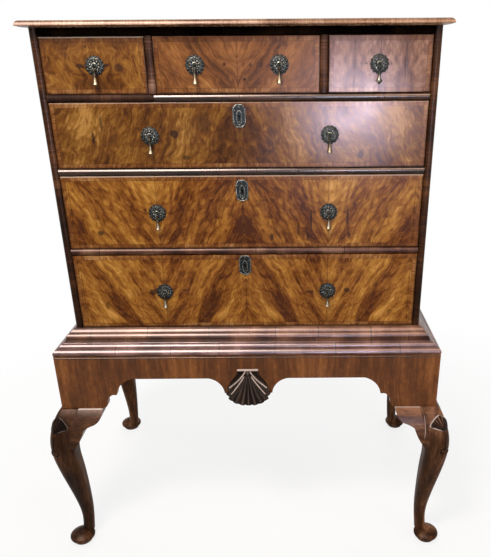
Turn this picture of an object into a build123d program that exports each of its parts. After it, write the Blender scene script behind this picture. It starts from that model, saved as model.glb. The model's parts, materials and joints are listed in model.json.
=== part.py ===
"""Tall chest of drawers: a case of six drawers on a cabriole-legged stand."""
import os
from math import cos, radians, sin

from build123d import *

os.makedirs("parts", exist_ok=True)

# ---- driving dimensions, mm; +Z up, front towards -Y, origin under the middle of the stand ----
case_width = 914.0
case_depth = 530.0
side_thickness = 18.0
back_thickness = 10.0
back_board_count = 4
case_bottom_thickness = 18.0
rail_height = 17.0
rail_depth = 60.0
base_rail_thickness = 20.0
housing_depth = 6.0
opening_heights = [200.0, 183.0, 151.0, 122.0]
end_drawer_width = 234.0
divider_thickness = 18.0
bead_rise = 6.0
runner_width = 30.0
guide_height = 40.0

top_thickness = 14.0
top_overhang = 21.0
top_nose_height = 4.0
top_shoulder = 7.0
top_undercut = 2.0
top_bulge = 1.2

leg_height = 454.0
frieze_height = 158.0
stand_projection = 52.0
frame_thickness = 12.0
frame_width = 100.0
frame_setback = 12.0
apron_thickness = 20.0
skin_thickness = 3.0
post_size = 47.0
moulding_height = 60.0
moulding_overhang = 0.5

# front apron: heights of its edge above the leg top, and reaches from the middle or in from the corner
arch_rise = 90.0
arch_start = 106.0
arch_inset = 197.0
cusp_rise = 41.0
cusp_inset = 153.0
ledge_inset = 142.0
ogee_rise = 16.0
ogee_inset = 126.0
bracket_inset = 110.0
shell_shoulder = 64.0
shell_shoulder_rise = 45.0
side_arch_rise = 70.0

drawer_front_thickness = 20.0
drawer_face_setback = 3.0
drawer_side_gap = 1.0
drawer_top_gap = 1.5
slide_clearance = 0.5
box_side_thickness = 9.0
box_back_thickness = 10.0
box_top_drop = 4.0
box_back_drop = 10.0
bottom_thickness = 7.0
bottom_raise = 6.0
groove_depth = 4.0
lap_thickness = 8.0
box_rear_gap = 12.0
stop_length = 40.0
stop_height = 4.0
stop_depth = 12.0
stop_clearance = 0.5

plate_radius = 22.0
plate_thickness = 1.5
plate_lobes = 14
lobe_radius = 3.4
boss_radius = 6.0
boss_height = 4.5
pivot_height = 9.5
bar_radius = 1.2
pivot_clearance = 0.08
eye_radius = 3.0
eye_width = 3.0
staple_side_gap = 0.4
shank_radius = 1.6
clinch_length = 9.0
clinch_thickness = 1.2
drop_length = 41.0
drop_neck_radius = 1.3
drop_stem_radius = 2.2
drop_bell_radius = 6.2
drop_bulge = 0.9
end_handle_x = 320.0
middle_handle_x = 95.0
long_handle_x = 211.0

escutcheon_width = 30.0
escutcheon_height = 52.0
escutcheon_corner = 9.0
escutcheon_notch = 2.0
keyhole_drops = [28.0, 37.0, 32.0]
keyhole_radius = 3.0
keyhole_slot = 9.0
keyhole_slot_width = 3.2
lock_width = 66.0
lock_depth = 12.0
lock_wall = 2.0
lock_below_keyhole = 26.0
bolt_width = 26.0
bolt_depth = 4.0
bolt_height = 14.0
bolt_travel = 8.0
bolt_clearance = 0.3

shell_rise = 118.0
shell_plinth_width = 56.0
shell_plinth_height = 16.0
shell_half_width = 57.0
shell_ear_rise = 64.0
shell_drop = 12.0
shell_lobes = 9
shell_lobe_bulge = 2.0
shell_thickness = 12.0

bracket_lobe_inset = 87.0
bracket_lobe_drop = 39.0
bracket_waist_inset = 60.0
bracket_waist_drop = 52.0
bracket_end_inset = 31.0
bracket_drop = 108.0
bracket_bulge = 3.0
bracket_back = 30.0
bracket_root = 14.0
bracket_recess = 1.2

# cabriole leg, from the top down: share of the height, reach out and in from the stand's corner, roundness
leg_sections = [
    (1.000, 5.0, 47.0, 0.14),
    (0.930, 24.0, 44.0, 0.20),
    (0.850, 36.0, 36.0, 0.26),
    (0.770, 40.5, 28.5, 0.30),
    (0.690, 39.0, 26.0, 0.32),
    (0.600, 33.5, 28.5, 0.34),
    (0.500, 25.5, 31.0, 0.37),
    (0.400, 17.0, 32.5, 0.41),
    (0.300, 9.0, 33.0, 0.45),
    (0.210, 3.5, 32.0, 0.48),
    (0.140, 2.5, 30.0, 0.49),
    (0.060, 5.0, 27.0, 0.49),
]
foot_radius = 35.5
foot_height = 34.0
foot_pad_height = 8.0
foot_pad_radius = 26.0
foot_pad_flare = 2.0
foot_rim_rise = 9.0
foot_shift = 5.0

# ---- derived planes and levels ----
stand_width = case_width + 2 * stand_projection
stand_depth = case_depth + stand_projection
stand_half = stand_width / 2
stand_front = -stand_depth / 2
back_y = stand_depth / 2
case_half = case_width / 2
case_front = stand_front + stand_projection
carcase_front = case_front + bead_rise
drawer_face = case_front + drawer_face_setback
drawer_inside = drawer_face + drawer_front_thickness
back_inside = back_y - back_thickness
inner_half = case_half - side_thickness
middle_drawer_width = 2 * (inner_half - end_drawer_width - divider_thickness)
divider_x = middle_drawer_width / 2 + divider_thickness / 2
end_drawer_x = inner_half - end_drawer_width / 2
bolt_y = drawer_inside - lock_depth / 2

stand_top = leg_height + frieze_height
case_foot = stand_top + frame_thickness
opening_base = stand_top + moulding_height
opening_floors = []
level = opening_base
for opening_height in opening_heights:
    opening_floors.append(level)
    level += opening_height + rail_height
case_top = level
short_row = len(opening_heights) - 1
short_floor = opening_floors[short_row]
short_ceiling = short_floor + opening_heights[short_row]

# name, row, middle, opening width, handle places
drawers = [
    ("bottom_drawer", 0, 0.0, 2 * inner_half, [-long_handle_x, long_handle_x]),
    ("centre_drawer", 1, 0.0, 2 * inner_half, [-long_handle_x, long_handle_x]),
    ("upper_drawer", 2, 0.0, 2 * inner_half, [-long_handle_x, long_handle_x]),
    ("left_short_drawer", 3, -end_drawer_x, end_drawer_width, [-end_handle_x]),
    ("middle_short_drawer", 3, 0.0, middle_drawer_width, [-middle_handle_x, middle_handle_x]),
    ("right_short_drawer", 3, end_drawer_x, end_drawer_width, [end_handle_x]),
]


def save(pieces, name):
    """Write one node: a single piece, or a group of separate solids."""
    if len(pieces) == 1:
        node = pieces[0].part
    else:
        node = Compound(children=[piece.part for piece in pieces])
    node.label = name
    export_step(node, f"parts/{name}.step")


def block(low, high, mode=Mode.ADD):
    """A box between two corners, added to or cut from the part in hand."""
    size = [high[axis] - low[axis] for axis in range(3)]
    middle = [(high[axis] + low[axis]) / 2 for axis in range(3)]
    with Locations(tuple(middle)):
        Box(*size, mode=mode)


def plank(low, high):
    with BuildPart() as board:
        block(low, high)
    return board


# ---- case ----
def case_side(side):
    with BuildPart() as panel:
        edges = sorted([side * inner_half, side * case_half])
        block((edges[0], carcase_front, case_foot), (edges[1], back_y, case_top))
        pocket = sorted([side * inner_half, side * (inner_half + housing_depth)])
        for row, height in enumerate(opening_heights):
            low = opening_floors[row] + height
            rear = carcase_front + rail_depth if row == short_row else back_inside
            block((pocket[0], carcase_front, low), (pocket[1], rear, low + rail_height), Mode.SUBTRACT)
    return panel


def case_bottom():
    return plank((-inner_half, carcase_front, opening_base - case_bottom_thickness),
                 (inner_half, back_inside, opening_base))


def back_boards():
    board_width = 2 * inner_half / back_board_count
    boards = []
    for index in range(back_board_count):
        left = -inner_half + index * board_width
        boards.append(plank((left, back_inside, case_foot), (left + board_width, back_y, case_top)))
    return boards


def drawer_rails():
    rails = []
    half = inner_half + housing_depth
    slot_half = bolt_width / 2 + bolt_clearance
    slot_depth = bolt_depth / 2 + bolt_clearance
    for row, height in enumerate(opening_heights):
        low = opening_floors[row] + height
        with BuildPart() as rail:
            block((-half, carcase_front, low), (half, carcase_front + rail_depth, low + rail_height))
            if row < short_row:
                block((-slot_half, bolt_y - slot_depth, low),
                      (slot_half, bolt_y + slot_depth, low + bolt_travel), Mode.SUBTRACT)
        rails.append(rail)
    rails.append(plank((-inner_half, carcase_front, case_foot),
                       (inner_half, carcase_front + base_rail_thickness,
                        opening_base - case_bottom_thickness)))
    return rails


def drawer_dividers():
    half = divider_thickness / 2
    return [plank((side * divider_x - half, carcase_front, short_floor),
                  (side * divider_x + half, carcase_front + rail_depth, short_ceiling))
            for side in (-1, 1)]


def drawer_runners():
    """Strips that carry the drawer sides, and guides between the short drawers."""
    runners = []
    front = carcase_front + rail_depth
    for row in range(1, len(opening_heights)):
        top = opening_floors[row]
        for side in (-1, 1):
            edges = sorted([side * (inner_half - runner_width), side * (inner_half + housing_depth)])
            runners.append(plank((edges[0], front, top - rail_height), (edges[1], back_inside, top)))
    for side in (-1, 1):
        middle = side * divider_x
        half = divider_thickness / 2 + runner_width
        runners.append(plank((middle - half, front, short_floor - rail_height),
                             (middle + half, back_inside, short_floor)))
        half = divider_thickness / 2
        runners.append(plank((middle - half, front, short_floor),
                             (middle + half, back_inside, short_floor + guide_height)))
    return runners


def drawer_stops():
    """Small blocks on the rails, close behind the foot of each drawer front."""
    near = drawer_inside + stop_clearance
    stops = []
    for name, row, x, width, handles in drawers:
        low = opening_floors[row]
        for side in (-1, 1):
            middle = x + side * width / 4
            stops.append(plank((middle - stop_length / 2, near, low),
                               (middle + stop_length / 2, near + stop_depth, low + stop_height)))
    return stops


def bead_outline(width):
    """A flattened round that stands on the carcase's front edge."""
    with BuildLine() as outline:
        curve = ThreePointArc((-width / 2, 0), (0, bead_rise), (width / 2, 0))
        Line(curve @ 1, curve @ 0)
    return outline.line


def upright_bead(x, low, high, width):
    outline = bead_outline(width)
    with BuildPart() as bead:
        with BuildSketch(Plane((x, carcase_front, low), x_dir=(-1, 0, 0), z_dir=(0, 0, 1))):
            make_face(outline)
        extrude(amount=high - low)
    return bead


def level_bead(z, half_length):
    outline = bead_outline(rail_height)
    with BuildPart() as bead:
        with BuildSketch(Plane((-half_length, carcase_front, z), x_dir=(0, 0, 1), z_dir=(1, 0, 0))):
            make_face(outline)
        extrude(amount=2 * half_length)
    return bead


def stile_beads():
    middle = case_half - side_thickness / 2
    return [upright_bead(side * middle, opening_base, case_top, side_thickness) for side in (-1, 1)]


def rail_beads():
    beads = []
    for row, height in enumerate(opening_heights):
        beads.append(level_bead(opening_floors[row] + height + rail_height / 2, inner_half))
    for side in (-1, 1):
        beads.append(upright_bead(side * divider_x, short_floor, short_ceiling, divider_thickness))
    return beads


def edge_outline(half_width):
    """Half of the top board seen end on: a thumb edge that comes to a nose low down."""
    reach = half_width + top_overhang
    crown = case_top + top_thickness
    nose = case_top + top_nose_height
    shoulder = reach - top_shoulder
    root = half_width + top_undercut
    over = (reach - top_shoulder * 0.3, (crown + nose) / 2 + top_bulge)
    under = ((reach + root) / 2, case_top + top_nose_height * 0.3)
    with BuildLine() as outline:
        Line((0, crown), (shoulder, crown))
        ThreePointArc((shoulder, crown), over, (reach, nose))
        ThreePointArc((reach, nose), under, (root, case_top))
        Polyline((root, case_top), (0, case_top), (0, crown))
    return outline.line


def top_board():
    side_outline = edge_outline(case_half)
    front_outline = edge_outline(-case_front)
    with BuildPart() as board:
        with BuildSketch(Plane.XZ.offset(-back_y)):
            make_face(side_outline)
            mirror(about=Plane.YZ)
        extrude(amount=stand_depth)
        with BuildSketch(Plane((-stand_half, 0, 0), x_dir=(0, -1, 0), z_dir=(-1, 0, 0))):
            make_face(front_outline)
            with Locations((-back_y / 2, case_top + top_thickness / 2)):
                Rectangle(back_y, top_thickness)
        extrude(amount=-stand_width, mode=Mode.INTERSECT)
    return board


# ---- stand ----
def moulding_outline(run):
    """Waist moulding seen end on, out from the case face: two ovolos, a cove, an ovolo and a torus."""
    reach = stand_projection + moulding_overhang
    edge = run + stand_projection - frame_setback

    def at(out, up):
        return (run + out * reach, stand_top + up * moulding_height)

    with BuildLine() as outline:
        ThreePointArc(at(0, 1), at(0.138, 0.947), at(0.229, 0.842))
        Line(at(0.229, 0.842), at(0.229, 0.825))
        ThreePointArc(at(0.229, 0.825), at(0.337, 0.781), at(0.40, 0.692))
        Line(at(0.40, 0.692), at(0.40, 0.675))
        ThreePointArc(at(0.40, 0.675), at(0.451, 0.557), at(0.543, 0.458))
        Polyline(at(0.543, 0.458), at(0.59, 0.458), at(0.59, 0.442))
        ThreePointArc(at(0.59, 0.442), at(0.686, 0.39), at(0.733, 0.30))
        Polyline(at(0.733, 0.30), at(0.762, 0.30), at(0.762, 0.283))
        ThreePointArc(at(0.762, 0.283), at(0.924, 0.233), at(1, 0.117))
        ThreePointArc(at(1, 0.117), at(0.993, 0.05), at(0.933, 0))
        Polyline(at(0.933, 0), (edge, stand_top), (edge, case_foot), (run, case_foot), at(0, 1))
    return outline.line


def waist_moulding():
    """Front length and two returns, mitred at the corners."""
    corner = (case_half, case_front, stand_top)
    mitre = Plane(corner, z_dir=(-1, -1, 0))
    other_mitre = Plane((-case_half, case_front, stand_top), z_dir=(1, -1, 0))
    front_outline = moulding_outline(-case_front)
    return_outline = moulding_outline(case_half)
    with BuildPart() as front:
        with BuildSketch(Plane((-stand_width, 0, 0), x_dir=(0, -1, 0), z_dir=(-1, 0, 0))):
            make_face(front_outline)
        extrude(amount=-2 * stand_width)
        split(bisect_by=mitre)
        split(bisect_by=other_mitre)
    with BuildPart() as right_return:
        with BuildSketch(Plane.XZ.offset(-back_y)):
            make_face(return_outline)
        extrude(amount=2 * stand_depth)
        split(bisect_by=mitre, keep=Keep.BOTTOM)
    with BuildPart() as left_return:
        add(mirror(right_return.part, about=Plane.YZ, mode=Mode.PRIVATE))
    return [front, right_return, left_return]


def stand_top_frame():
    """Flat boards on the aprons and posts, on which the case stands."""
    half = stand_half - frame_setback
    front = stand_front + frame_setback
    boards = [plank((-half, front, stand_top), (half, front + frame_width, case_foot)),
              plank((-half, back_y - frame_width, stand_top), (half, back_y, case_foot))]
    for side in (-1, 1):
        edges = sorted([side * (half - frame_width), side * half])
        boards.append(plank((edges[0], front + frame_width, stand_top),
                            (edges[1], back_y - frame_width, case_foot)))
    return boards


def apron_outline():
    """Right half of the front apron, outline in X and Z."""
    arch = leg_height + arch_rise
    cusp = leg_height + cusp_rise
    shoulder = leg_height + shell_shoulder_rise
    arch_end = stand_half - arch_inset
    cusp_x = stand_half - cusp_inset
    ledge_x = stand_half - ledge_inset
    ogee_x = stand_half - ogee_inset
    ogee_z = leg_height + ogee_rise
    foot_x = stand_half - bracket_inset
    with BuildLine() as outline:
        Polyline((0, stand_top), (0, shoulder), (shell_shoulder, shoulder))
        bend = (shell_shoulder + (arch_start - shell_shoulder) * 0.36, shoulder + (arch - shoulder) * 0.70)
        ThreePointArc((shell_shoulder, shoulder), bend, (arch_start, arch))
        Line((arch_start, arch), (arch_end, arch))
        bend = (arch_end + (cusp_x - arch_end) * 0.64, cusp + (arch - cusp) * 0.66)
        ThreePointArc((arch_end, arch), bend, (cusp_x, cusp))
        Line((cusp_x, cusp), (ledge_x, cusp))
        bend = (ledge_x + (ogee_x - ledge_x) * 0.68, cusp - (cusp - ogee_z) * 0.34)
        ThreePointArc((ledge_x, cusp), bend, (ogee_x, ogee_z))
        bend = (ogee_x + (foot_x - ogee_x) * 0.30, leg_height + ogee_rise * 0.26)
        ThreePointArc((ogee_x, ogee_z), bend, (foot_x, leg_height))
        Polyline((foot_x, leg_height), (stand_half, leg_height), (stand_half, stand_top), (0, stand_top))
    return outline.line


def post_cut(side_x, side_y):
    """Clears a corner post out of the aprons, leaving the outer skin over it."""
    depths = (skin_thickness, skin_thickness + post_size)
    across = sorted([side_x * (stand_half - depth) for depth in depths])
    along = sorted([side_y * (back_y - depth) for depth in depths])
    block((across[0], along[0], leg_height), (across[1], along[1], stand_top), Mode.SUBTRACT)


def front_apron():
    outline = apron_outline()
    with BuildPart() as apron:
        with BuildSketch(Plane.XZ.offset(-stand_front - apron_thickness)):
            make_face(outline)
            mirror(about=Plane.YZ)
        extrude(amount=apron_thickness)
        for side in (-1, 1):
            post_cut(side, -1)
            edges = sorted([side * (stand_half - skin_thickness), side * stand_half])
            block((edges[0], stand_front + skin_thickness, leg_height),
                  (edges[1], stand_front + apron_thickness, stand_top), Mode.SUBTRACT)
    return apron


def side_apron(side):
    """A plain flat arch between the side's two knees."""
    reach = back_y - bracket_inset
    arch = leg_height + side_arch_rise
    with BuildPart() as apron:
        with BuildSketch(Plane.YZ.offset(side * stand_half)):
            with BuildLine():
                Polyline((0, stand_top), (0, arch), (reach - side_arch_rise, arch))
                RadiusArc((reach - side_arch_rise, arch), (reach, leg_height), side_arch_rise)
                Polyline((reach, leg_height), (back_y, leg_height), (back_y, stand_top), (0, stand_top))
            make_face()
            mirror(about=Plane.YZ)
        extrude(amount=-side * apron_thickness)
        edges = sorted([side * (stand_half - apron_thickness), side * stand_half])
        block((edges[0], stand_front, leg_height), (edges[1], stand_front + skin_thickness, stand_top),
              Mode.SUBTRACT)
        block((edges[0], back_y - skin_thickness, leg_height), (edges[1], back_y, stand_top), Mode.SUBTRACT)
        post_cut(side, -1)
        post_cut(side, 1)
    return apron


def back_apron():
    inner = stand_half - skin_thickness - post_size
    rear = back_y - skin_thickness
    return plank((-inner, rear - apron_thickness, leg_height + side_arch_rise), (inner, rear, stand_top))


def front_right_leg():
    """Cabriole leg: square post, knee, shank and pad foot, set on the stand's diagonal."""
    post_x = stand_half - skin_thickness
    post_y = stand_front + skin_thickness
    with BuildPart() as limb:
        for share, reach_out, reach_in, roundness in leg_sections:
            width = reach_out + reach_in
            shift = (reach_out - reach_in) / 2
            with BuildSketch(Plane((stand_half + shift, stand_front - shift, share * leg_height))):
                RectangleRounded(width, width, width * roundness)
        loft()
        foot_x = stand_half + foot_shift
        foot_y = stand_front - foot_shift
        flare = (foot_pad_radius + foot_pad_flare, foot_pad_height)
        rim = (foot_radius, foot_pad_height + foot_rim_rise)
        shoulder = (foot_radius * 0.86, foot_height * 0.72)
        neck = (foot_radius * 0.30, foot_height)
        with BuildSketch(Plane((foot_x, foot_y, 0), x_dir=(1, 0, 0), z_dir=(0, -1, 0))):
            with BuildLine():
                Polyline((0, foot_height), (0, 0), (foot_pad_radius, 0),
                         (foot_pad_radius, foot_pad_height / 2), flare)
                ThreePointArc(flare, rim, shoulder)
                ThreePointArc(shoulder, (foot_radius * 0.6, foot_height * 0.88), neck)
                Line(neck, (0, foot_height))
            make_face()
        revolve(axis=Axis((foot_x, foot_y, 0), (0, 0, 1)))
        block((post_x - post_size, post_y, leg_height), (post_x, post_y + post_size, stand_top))
    return limb


def mirrored(piece, *planes):
    """The same piece on the other side of one or two of the object's middle planes."""
    with BuildPart() as copy:
        add(piece.part)
        for plane in planes:
            mirror(about=plane, mode=Mode.REPLACE)
    return copy


def bracket(along, outward, limb):
    """Knee block beside the front right leg: two lobes below the apron, its face following the knee."""
    corner = Vector(stand_half, stand_front, 0)
    up = Vector(0, 0, 1)
    top = leg_height
    with BuildPart() as piece:
        with BuildSketch(Plane(corner, x_dir=along, z_dir=along.cross(up))):
            with BuildLine():
                start = (bracket_inset, top)
                lobe = (bracket_lobe_inset, top - bracket_lobe_drop)
                waist = (bracket_waist_inset, top - bracket_waist_drop)
                end = (bracket_end_inset, top - bracket_drop)
                ThreePointArc(start, (bracket_inset - bracket_bulge, (start[1] + lobe[1]) / 2), lobe)
                ThreePointArc(lobe, ((lobe[0] + waist[0]) / 2, (lobe[1] + waist[1]) / 2 + bracket_bulge / 2),
                              waist)
                ThreePointArc(waist, ((waist[0] + end[0]) / 2 + bracket_bulge, (waist[1] + end[1]) / 2), end)
                Polyline(end, (bracket_root, end[1]), (bracket_root, top), start)
            make_face()
        extrude(amount=post_size, both=True)
        with BuildSketch(Plane(corner, x_dir=outward, z_dir=outward.cross(up))):
            with BuildLine():
                knee = [(section[1] - bracket_recess, section[0] * top) for section in leg_sections[:6]]
                Spline(*knee)
                Polyline(knee[-1], (-bracket_back, knee[-1][1]), (-bracket_back, top), knee[0])
            make_face()
        extrude(amount=bracket_inset, both=True, mode=Mode.INTERSECT)
        add(limb.part, mode=Mode.SUBTRACT)
    return piece


def knee_brackets(limb):
    """One beside each front leg along the front, and one beside every leg along the sides."""
    facing_front = bracket(Vector(-1, 0, 0), Vector(0, -1, 0), limb)
    facing_side = bracket(Vector(0, 1, 0), Vector(1, 0, 0), limb)
    return [facing_front, mirrored(facing_front, Plane.YZ), facing_side, mirrored(facing_side, Plane.YZ),
            mirrored(facing_side, Plane.XZ), mirrored(facing_side, Plane.XZ, Plane.YZ)]


def apron_shell():
    """Scallop shell on a square plinth, standing on the apron's face and hanging below its edge."""
    top = leg_height + shell_rise
    neck = top - shell_plinth_height
    ear = leg_height + shell_ear_rise
    radius = ear - leg_height - shell_drop
    step = 180 / shell_lobes
    with BuildPart() as shell:
        with BuildSketch(Plane.XZ.offset(-stand_front)):
            with BuildLine():
                half = shell_plinth_width / 2
                Polyline((-half, neck), (-half, top), (half, top), (half, neck))
                for side in (-1, 1):
                    bend = (side * (half + (shell_half_width - half) * 0.36), neck + (ear - neck) * 0.62)
                    ThreePointArc((side * half, neck), bend, (side * shell_half_width, ear))
                for lobe in range(shell_lobes):
                    points = []
                    for share, bulge in ((0, 0), (0.5, shell_lobe_bulge), (1, 0)):
                        angle = radians(180 + (lobe + share) * step)
                        points.append(((shell_half_width + bulge) * cos(angle),
                                       ear + (radius + bulge) * sin(angle)))
                    ThreePointArc(*points)
            make_face()
        extrude(amount=shell_thickness)
    return shell


# ---- drawers ----
def drawer_box_levels(row):
    low = opening_floors[row] + slide_clearance
    high = opening_floors[row] + opening_heights[row] - drawer_top_gap
    return low, high


def keyhole(x, z, mode):
    """A round hole with a slot below, cut or added along the sketch's normal."""
    with Locations((x, z)):
        Circle(keyhole_radius, mode=mode)
    with Locations((x, z - keyhole_slot / 2)):
        Rectangle(keyhole_slot_width, keyhole_slot, mode=mode)


def keyhole_level(row):
    return opening_floors[row] + opening_heights[row] - keyhole_drops[row]


def drawer_front(row, x, width, handles):
    low, high = drawer_box_levels(row)
    half = width / 2 - drawer_side_gap
    lap = drawer_face + lap_thickness
    with BuildPart() as front:
        block((x - half, drawer_face, low), (x + half, drawer_inside, high))
        for side in (-1, 1):
            edges = sorted([x + side * half, x + side * (half - box_side_thickness)])
            block((edges[0], lap, low), (edges[1], drawer_inside, high - box_top_drop), Mode.SUBTRACT)
        block((x - half, drawer_inside - groove_depth, low + bottom_raise),
              (x + half, drawer_inside, low + bottom_raise + bottom_thickness), Mode.SUBTRACT)
        with BuildSketch(Plane.XZ.offset(-drawer_face)):
            with Locations(*[(handle, handle_level(row)) for handle in handles]):
                Circle(shank_radius)
        extrude(amount=-drawer_front_thickness, mode=Mode.SUBTRACT)
        if row < short_row:
            level = keyhole_level(row)
            with BuildSketch(Plane.XZ.offset(-drawer_face)):
                keyhole(x, level, Mode.ADD)
            extrude(amount=-drawer_front_thickness, mode=Mode.SUBTRACT)
            block((x - lock_width / 2, drawer_inside - lock_depth, level - lock_below_keyhole),
                  (x + lock_width / 2, drawer_inside, high), Mode.SUBTRACT)
    return front


def drawer_box(row, x, width):
    """Sides lapped into the front, a back between them and a bottom in their grooves."""
    low, high = drawer_box_levels(row)
    half = width / 2 - drawer_side_gap
    rear = back_inside - box_rear_gap
    lap = drawer_face + lap_thickness
    top = high - box_top_drop
    floor = low + bottom_raise
    pieces = []
    for side in (-1, 1):
        outer = x + side * half
        inner = x + side * (half - box_side_thickness)
        groove = x + side * (half - box_side_thickness + groove_depth)
        with BuildPart() as board:
            edges = sorted([outer, inner])
            block((edges[0], lap, low), (edges[1], rear, top))
            edges = sorted([inner, groove])
            block((edges[0], lap, floor), (edges[1], rear, floor + bottom_thickness), Mode.SUBTRACT)
        pieces.append(board)
    inner_width = half - box_side_thickness
    pieces.append(plank((x - inner_width, rear - box_back_thickness, floor + bottom_thickness),
                        (x + inner_width, rear, top - box_back_drop)))
    pieces.append(plank((x - inner_width - groove_depth, drawer_inside - groove_depth, floor),
                        (x + inner_width + groove_depth, rear, floor + bottom_thickness)))
    return pieces


def handle_level(row):
    return opening_floors[row] + opening_heights[row] / 2


def handle_plate(x, z):
    """Scalloped round plate with a raised ring and a central boss."""
    with BuildPart() as plate:
        with BuildSketch(Plane.XZ.offset(-drawer_face)):
            with Locations((x, z)):
                Circle(plate_radius - lobe_radius / 2)
                with PolarLocations(plate_radius - lobe_radius, plate_lobes):
                    Circle(lobe_radius)
        extrude(amount=plate_thickness)
        with BuildSketch(Plane((x, drawer_face, z), x_dir=(1, 0, 0), z_dir=(0, 0, 1))):
            with BuildLine():
                ring = plate_radius * 0.62
                Polyline((0, 0), (0, -boss_height), (boss_radius * 0.6, -boss_height))
                ThreePointArc((boss_radius * 0.6, -boss_height), (boss_radius * 0.9, -boss_height * 0.8),
                              (boss_radius, -plate_thickness * 1.2))
                ThreePointArc((boss_radius, -plate_thickness * 1.2), (ring, -plate_thickness * 2),
                              (plate_radius * 0.84, -plate_thickness))
                Polyline((plate_radius * 0.84, -plate_thickness), (plate_radius * 0.84, 0), (0, 0))
            make_face()
        revolve(axis=Axis((x, 0, z), (0, 1, 0)))
    return plate


def staple(x, z):
    """Pin through the drawer front, its tails clinched inside, with the bar the drop hangs on."""
    spread = eye_width / 2 + staple_side_gap + bar_radius
    pivot_y = drawer_face - pivot_height
    boss_y = drawer_face - boss_height
    with BuildPart() as wire:
        with BuildSketch(Plane.XZ.offset(-boss_y)):
            with Locations((x - spread, z), (x + spread, z)):
                Circle(bar_radius)
        extrude(amount=pivot_height - boss_height)
        with BuildSketch(Plane.YZ.offset(x - spread)):
            with Locations((pivot_y, z)):
                Circle(bar_radius)
        extrude(amount=2 * spread)
        with Locations((x - spread, pivot_y, z), (x + spread, pivot_y, z)):
            Sphere(bar_radius)
    return wire


def shank(x, z):
    with BuildPart() as tails:
        with BuildSketch(Plane.XZ.offset(-drawer_face)):
            with Locations((x, z)):
                Circle(shank_radius)
        extrude(amount=-drawer_front_thickness)
        block((x - clinch_length, drawer_inside, z - shank_radius),
              (x + clinch_length, drawer_inside + clinch_thickness, z + shank_radius))
    return tails


def drop(x, z):
    """Pendant drop: an eye on the staple's bar, a slim neck and a flared bell."""
    pivot_y = drawer_face - pivot_height
    with BuildPart() as pendant:
        with BuildSketch(Plane((x, pivot_y, z), x_dir=(1, 0, 0), z_dir=(0, -1, 0))):
            with BuildLine():
                tip = -drop_length
                flare = tip * 0.65
                lip = tip + drop_bell_radius * 0.6
                root = -(eye_radius + bar_radius) / 2
                waist = (drop_stem_radius * 1.4, (flare + lip) / 2 - drop_bulge)
                rim = (drop_bell_radius * 0.86, (lip + tip) / 2 - drop_bulge)
                Polyline((0, root), (drop_neck_radius, root), (drop_neck_radius, tip * 0.25),
                         (drop_stem_radius, flare))
                ThreePointArc((drop_stem_radius, flare), waist, (drop_bell_radius, lip))
                ThreePointArc((drop_bell_radius, lip), rim, (drop_bell_radius * 0.5, tip))
                Polyline((drop_bell_radius * 0.5, tip), (0, tip), (0, root))
            make_face()
        revolve(axis=Axis((x, pivot_y, z), (0, 0, 1)))
        with BuildSketch(Plane.YZ.offset(x - eye_width / 2)):
            with Locations((pivot_y, z)):
                Circle(eye_radius)
        extrude(amount=eye_width)
        with BuildSketch(Plane.YZ.offset(x - eye_width / 2)):
            with Locations((pivot_y, z)):
                Circle(bar_radius + pivot_clearance)
        extrude(amount=eye_width, mode=Mode.SUBTRACT)
    return pendant


def escutcheon(row):
    level = keyhole_level(row)
    with BuildPart() as plate:
        with BuildSketch(Plane.XZ.offset(-drawer_face)):
            with Locations((0, level)):
                outline = Rectangle(escutcheon_width, escutcheon_height)
            chamfer(outline.vertices(), length=escutcheon_corner)
            with Locations((0, level)):
                with GridLocations(0, escutcheon_height, 1, 2):
                    Circle(escutcheon_notch, mode=Mode.SUBTRACT)
            keyhole(0, level, Mode.SUBTRACT)
        extrude(amount=plate_thickness)
    return plate


def lock(row):
    """Iron lock let into the back of the drawer front, open at the top for its bolt."""
    low, high = drawer_box_levels(row)
    level = keyhole_level(row)
    slot = bolt_width / 2 + bolt_clearance
    depth = bolt_depth / 2 + bolt_clearance
    with BuildPart() as case:
        block((-lock_width / 2, drawer_inside - lock_depth, level - lock_below_keyhole),
              (lock_width / 2, drawer_inside, high))
        block((-slot, bolt_y - depth, high - bolt_height - bolt_clearance), (slot, bolt_y + depth, high),
              Mode.SUBTRACT)
        with BuildSketch(Plane.XZ.offset(-(drawer_inside - lock_depth))):
            keyhole(0, level, Mode.ADD)
        extrude(amount=-(lock_depth - lock_wall), mode=Mode.SUBTRACT)
    return case


def bolt(row):
    low, high = drawer_box_levels(row)
    return plank((-bolt_width / 2, bolt_y - bolt_depth / 2, high - bolt_height),
                 (bolt_width / 2, bolt_y + bolt_depth / 2, high))


# ---- the object ----
limb = front_right_leg()
save([case_side(-1)], "case_side_left")
save([case_side(1)], "case_side_right")
save([case_bottom()], "case_bottom")
save(back_boards(), "back_boards")
save(drawer_rails(), "drawer_rails")
save(drawer_dividers(), "drawer_dividers")
save(drawer_runners(), "drawer_runners")
save(drawer_stops(), "drawer_stops")
save(stile_beads(), "stile_beads")
save(rail_beads(), "rail_beads")
save([top_board()], "top_board")
save(waist_moulding(), "waist_moulding")
save(stand_top_frame(), "stand_top_frame")
save([front_apron()], "front_apron")
save([side_apron(-1)], "side_apron_left")
save([side_apron(1)], "side_apron_right")
save([back_apron()], "back_apron")
save([mirrored(limb, Plane.YZ)], "front_leg_left")
save([limb], "front_leg_right")
save([mirrored(limb, Plane.XZ, Plane.YZ)], "rear_leg_left")
save([mirrored(limb, Plane.XZ)], "rear_leg_right")
save(knee_brackets(limb), "knee_brackets")
save([apron_shell()], "apron_shell")
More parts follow.
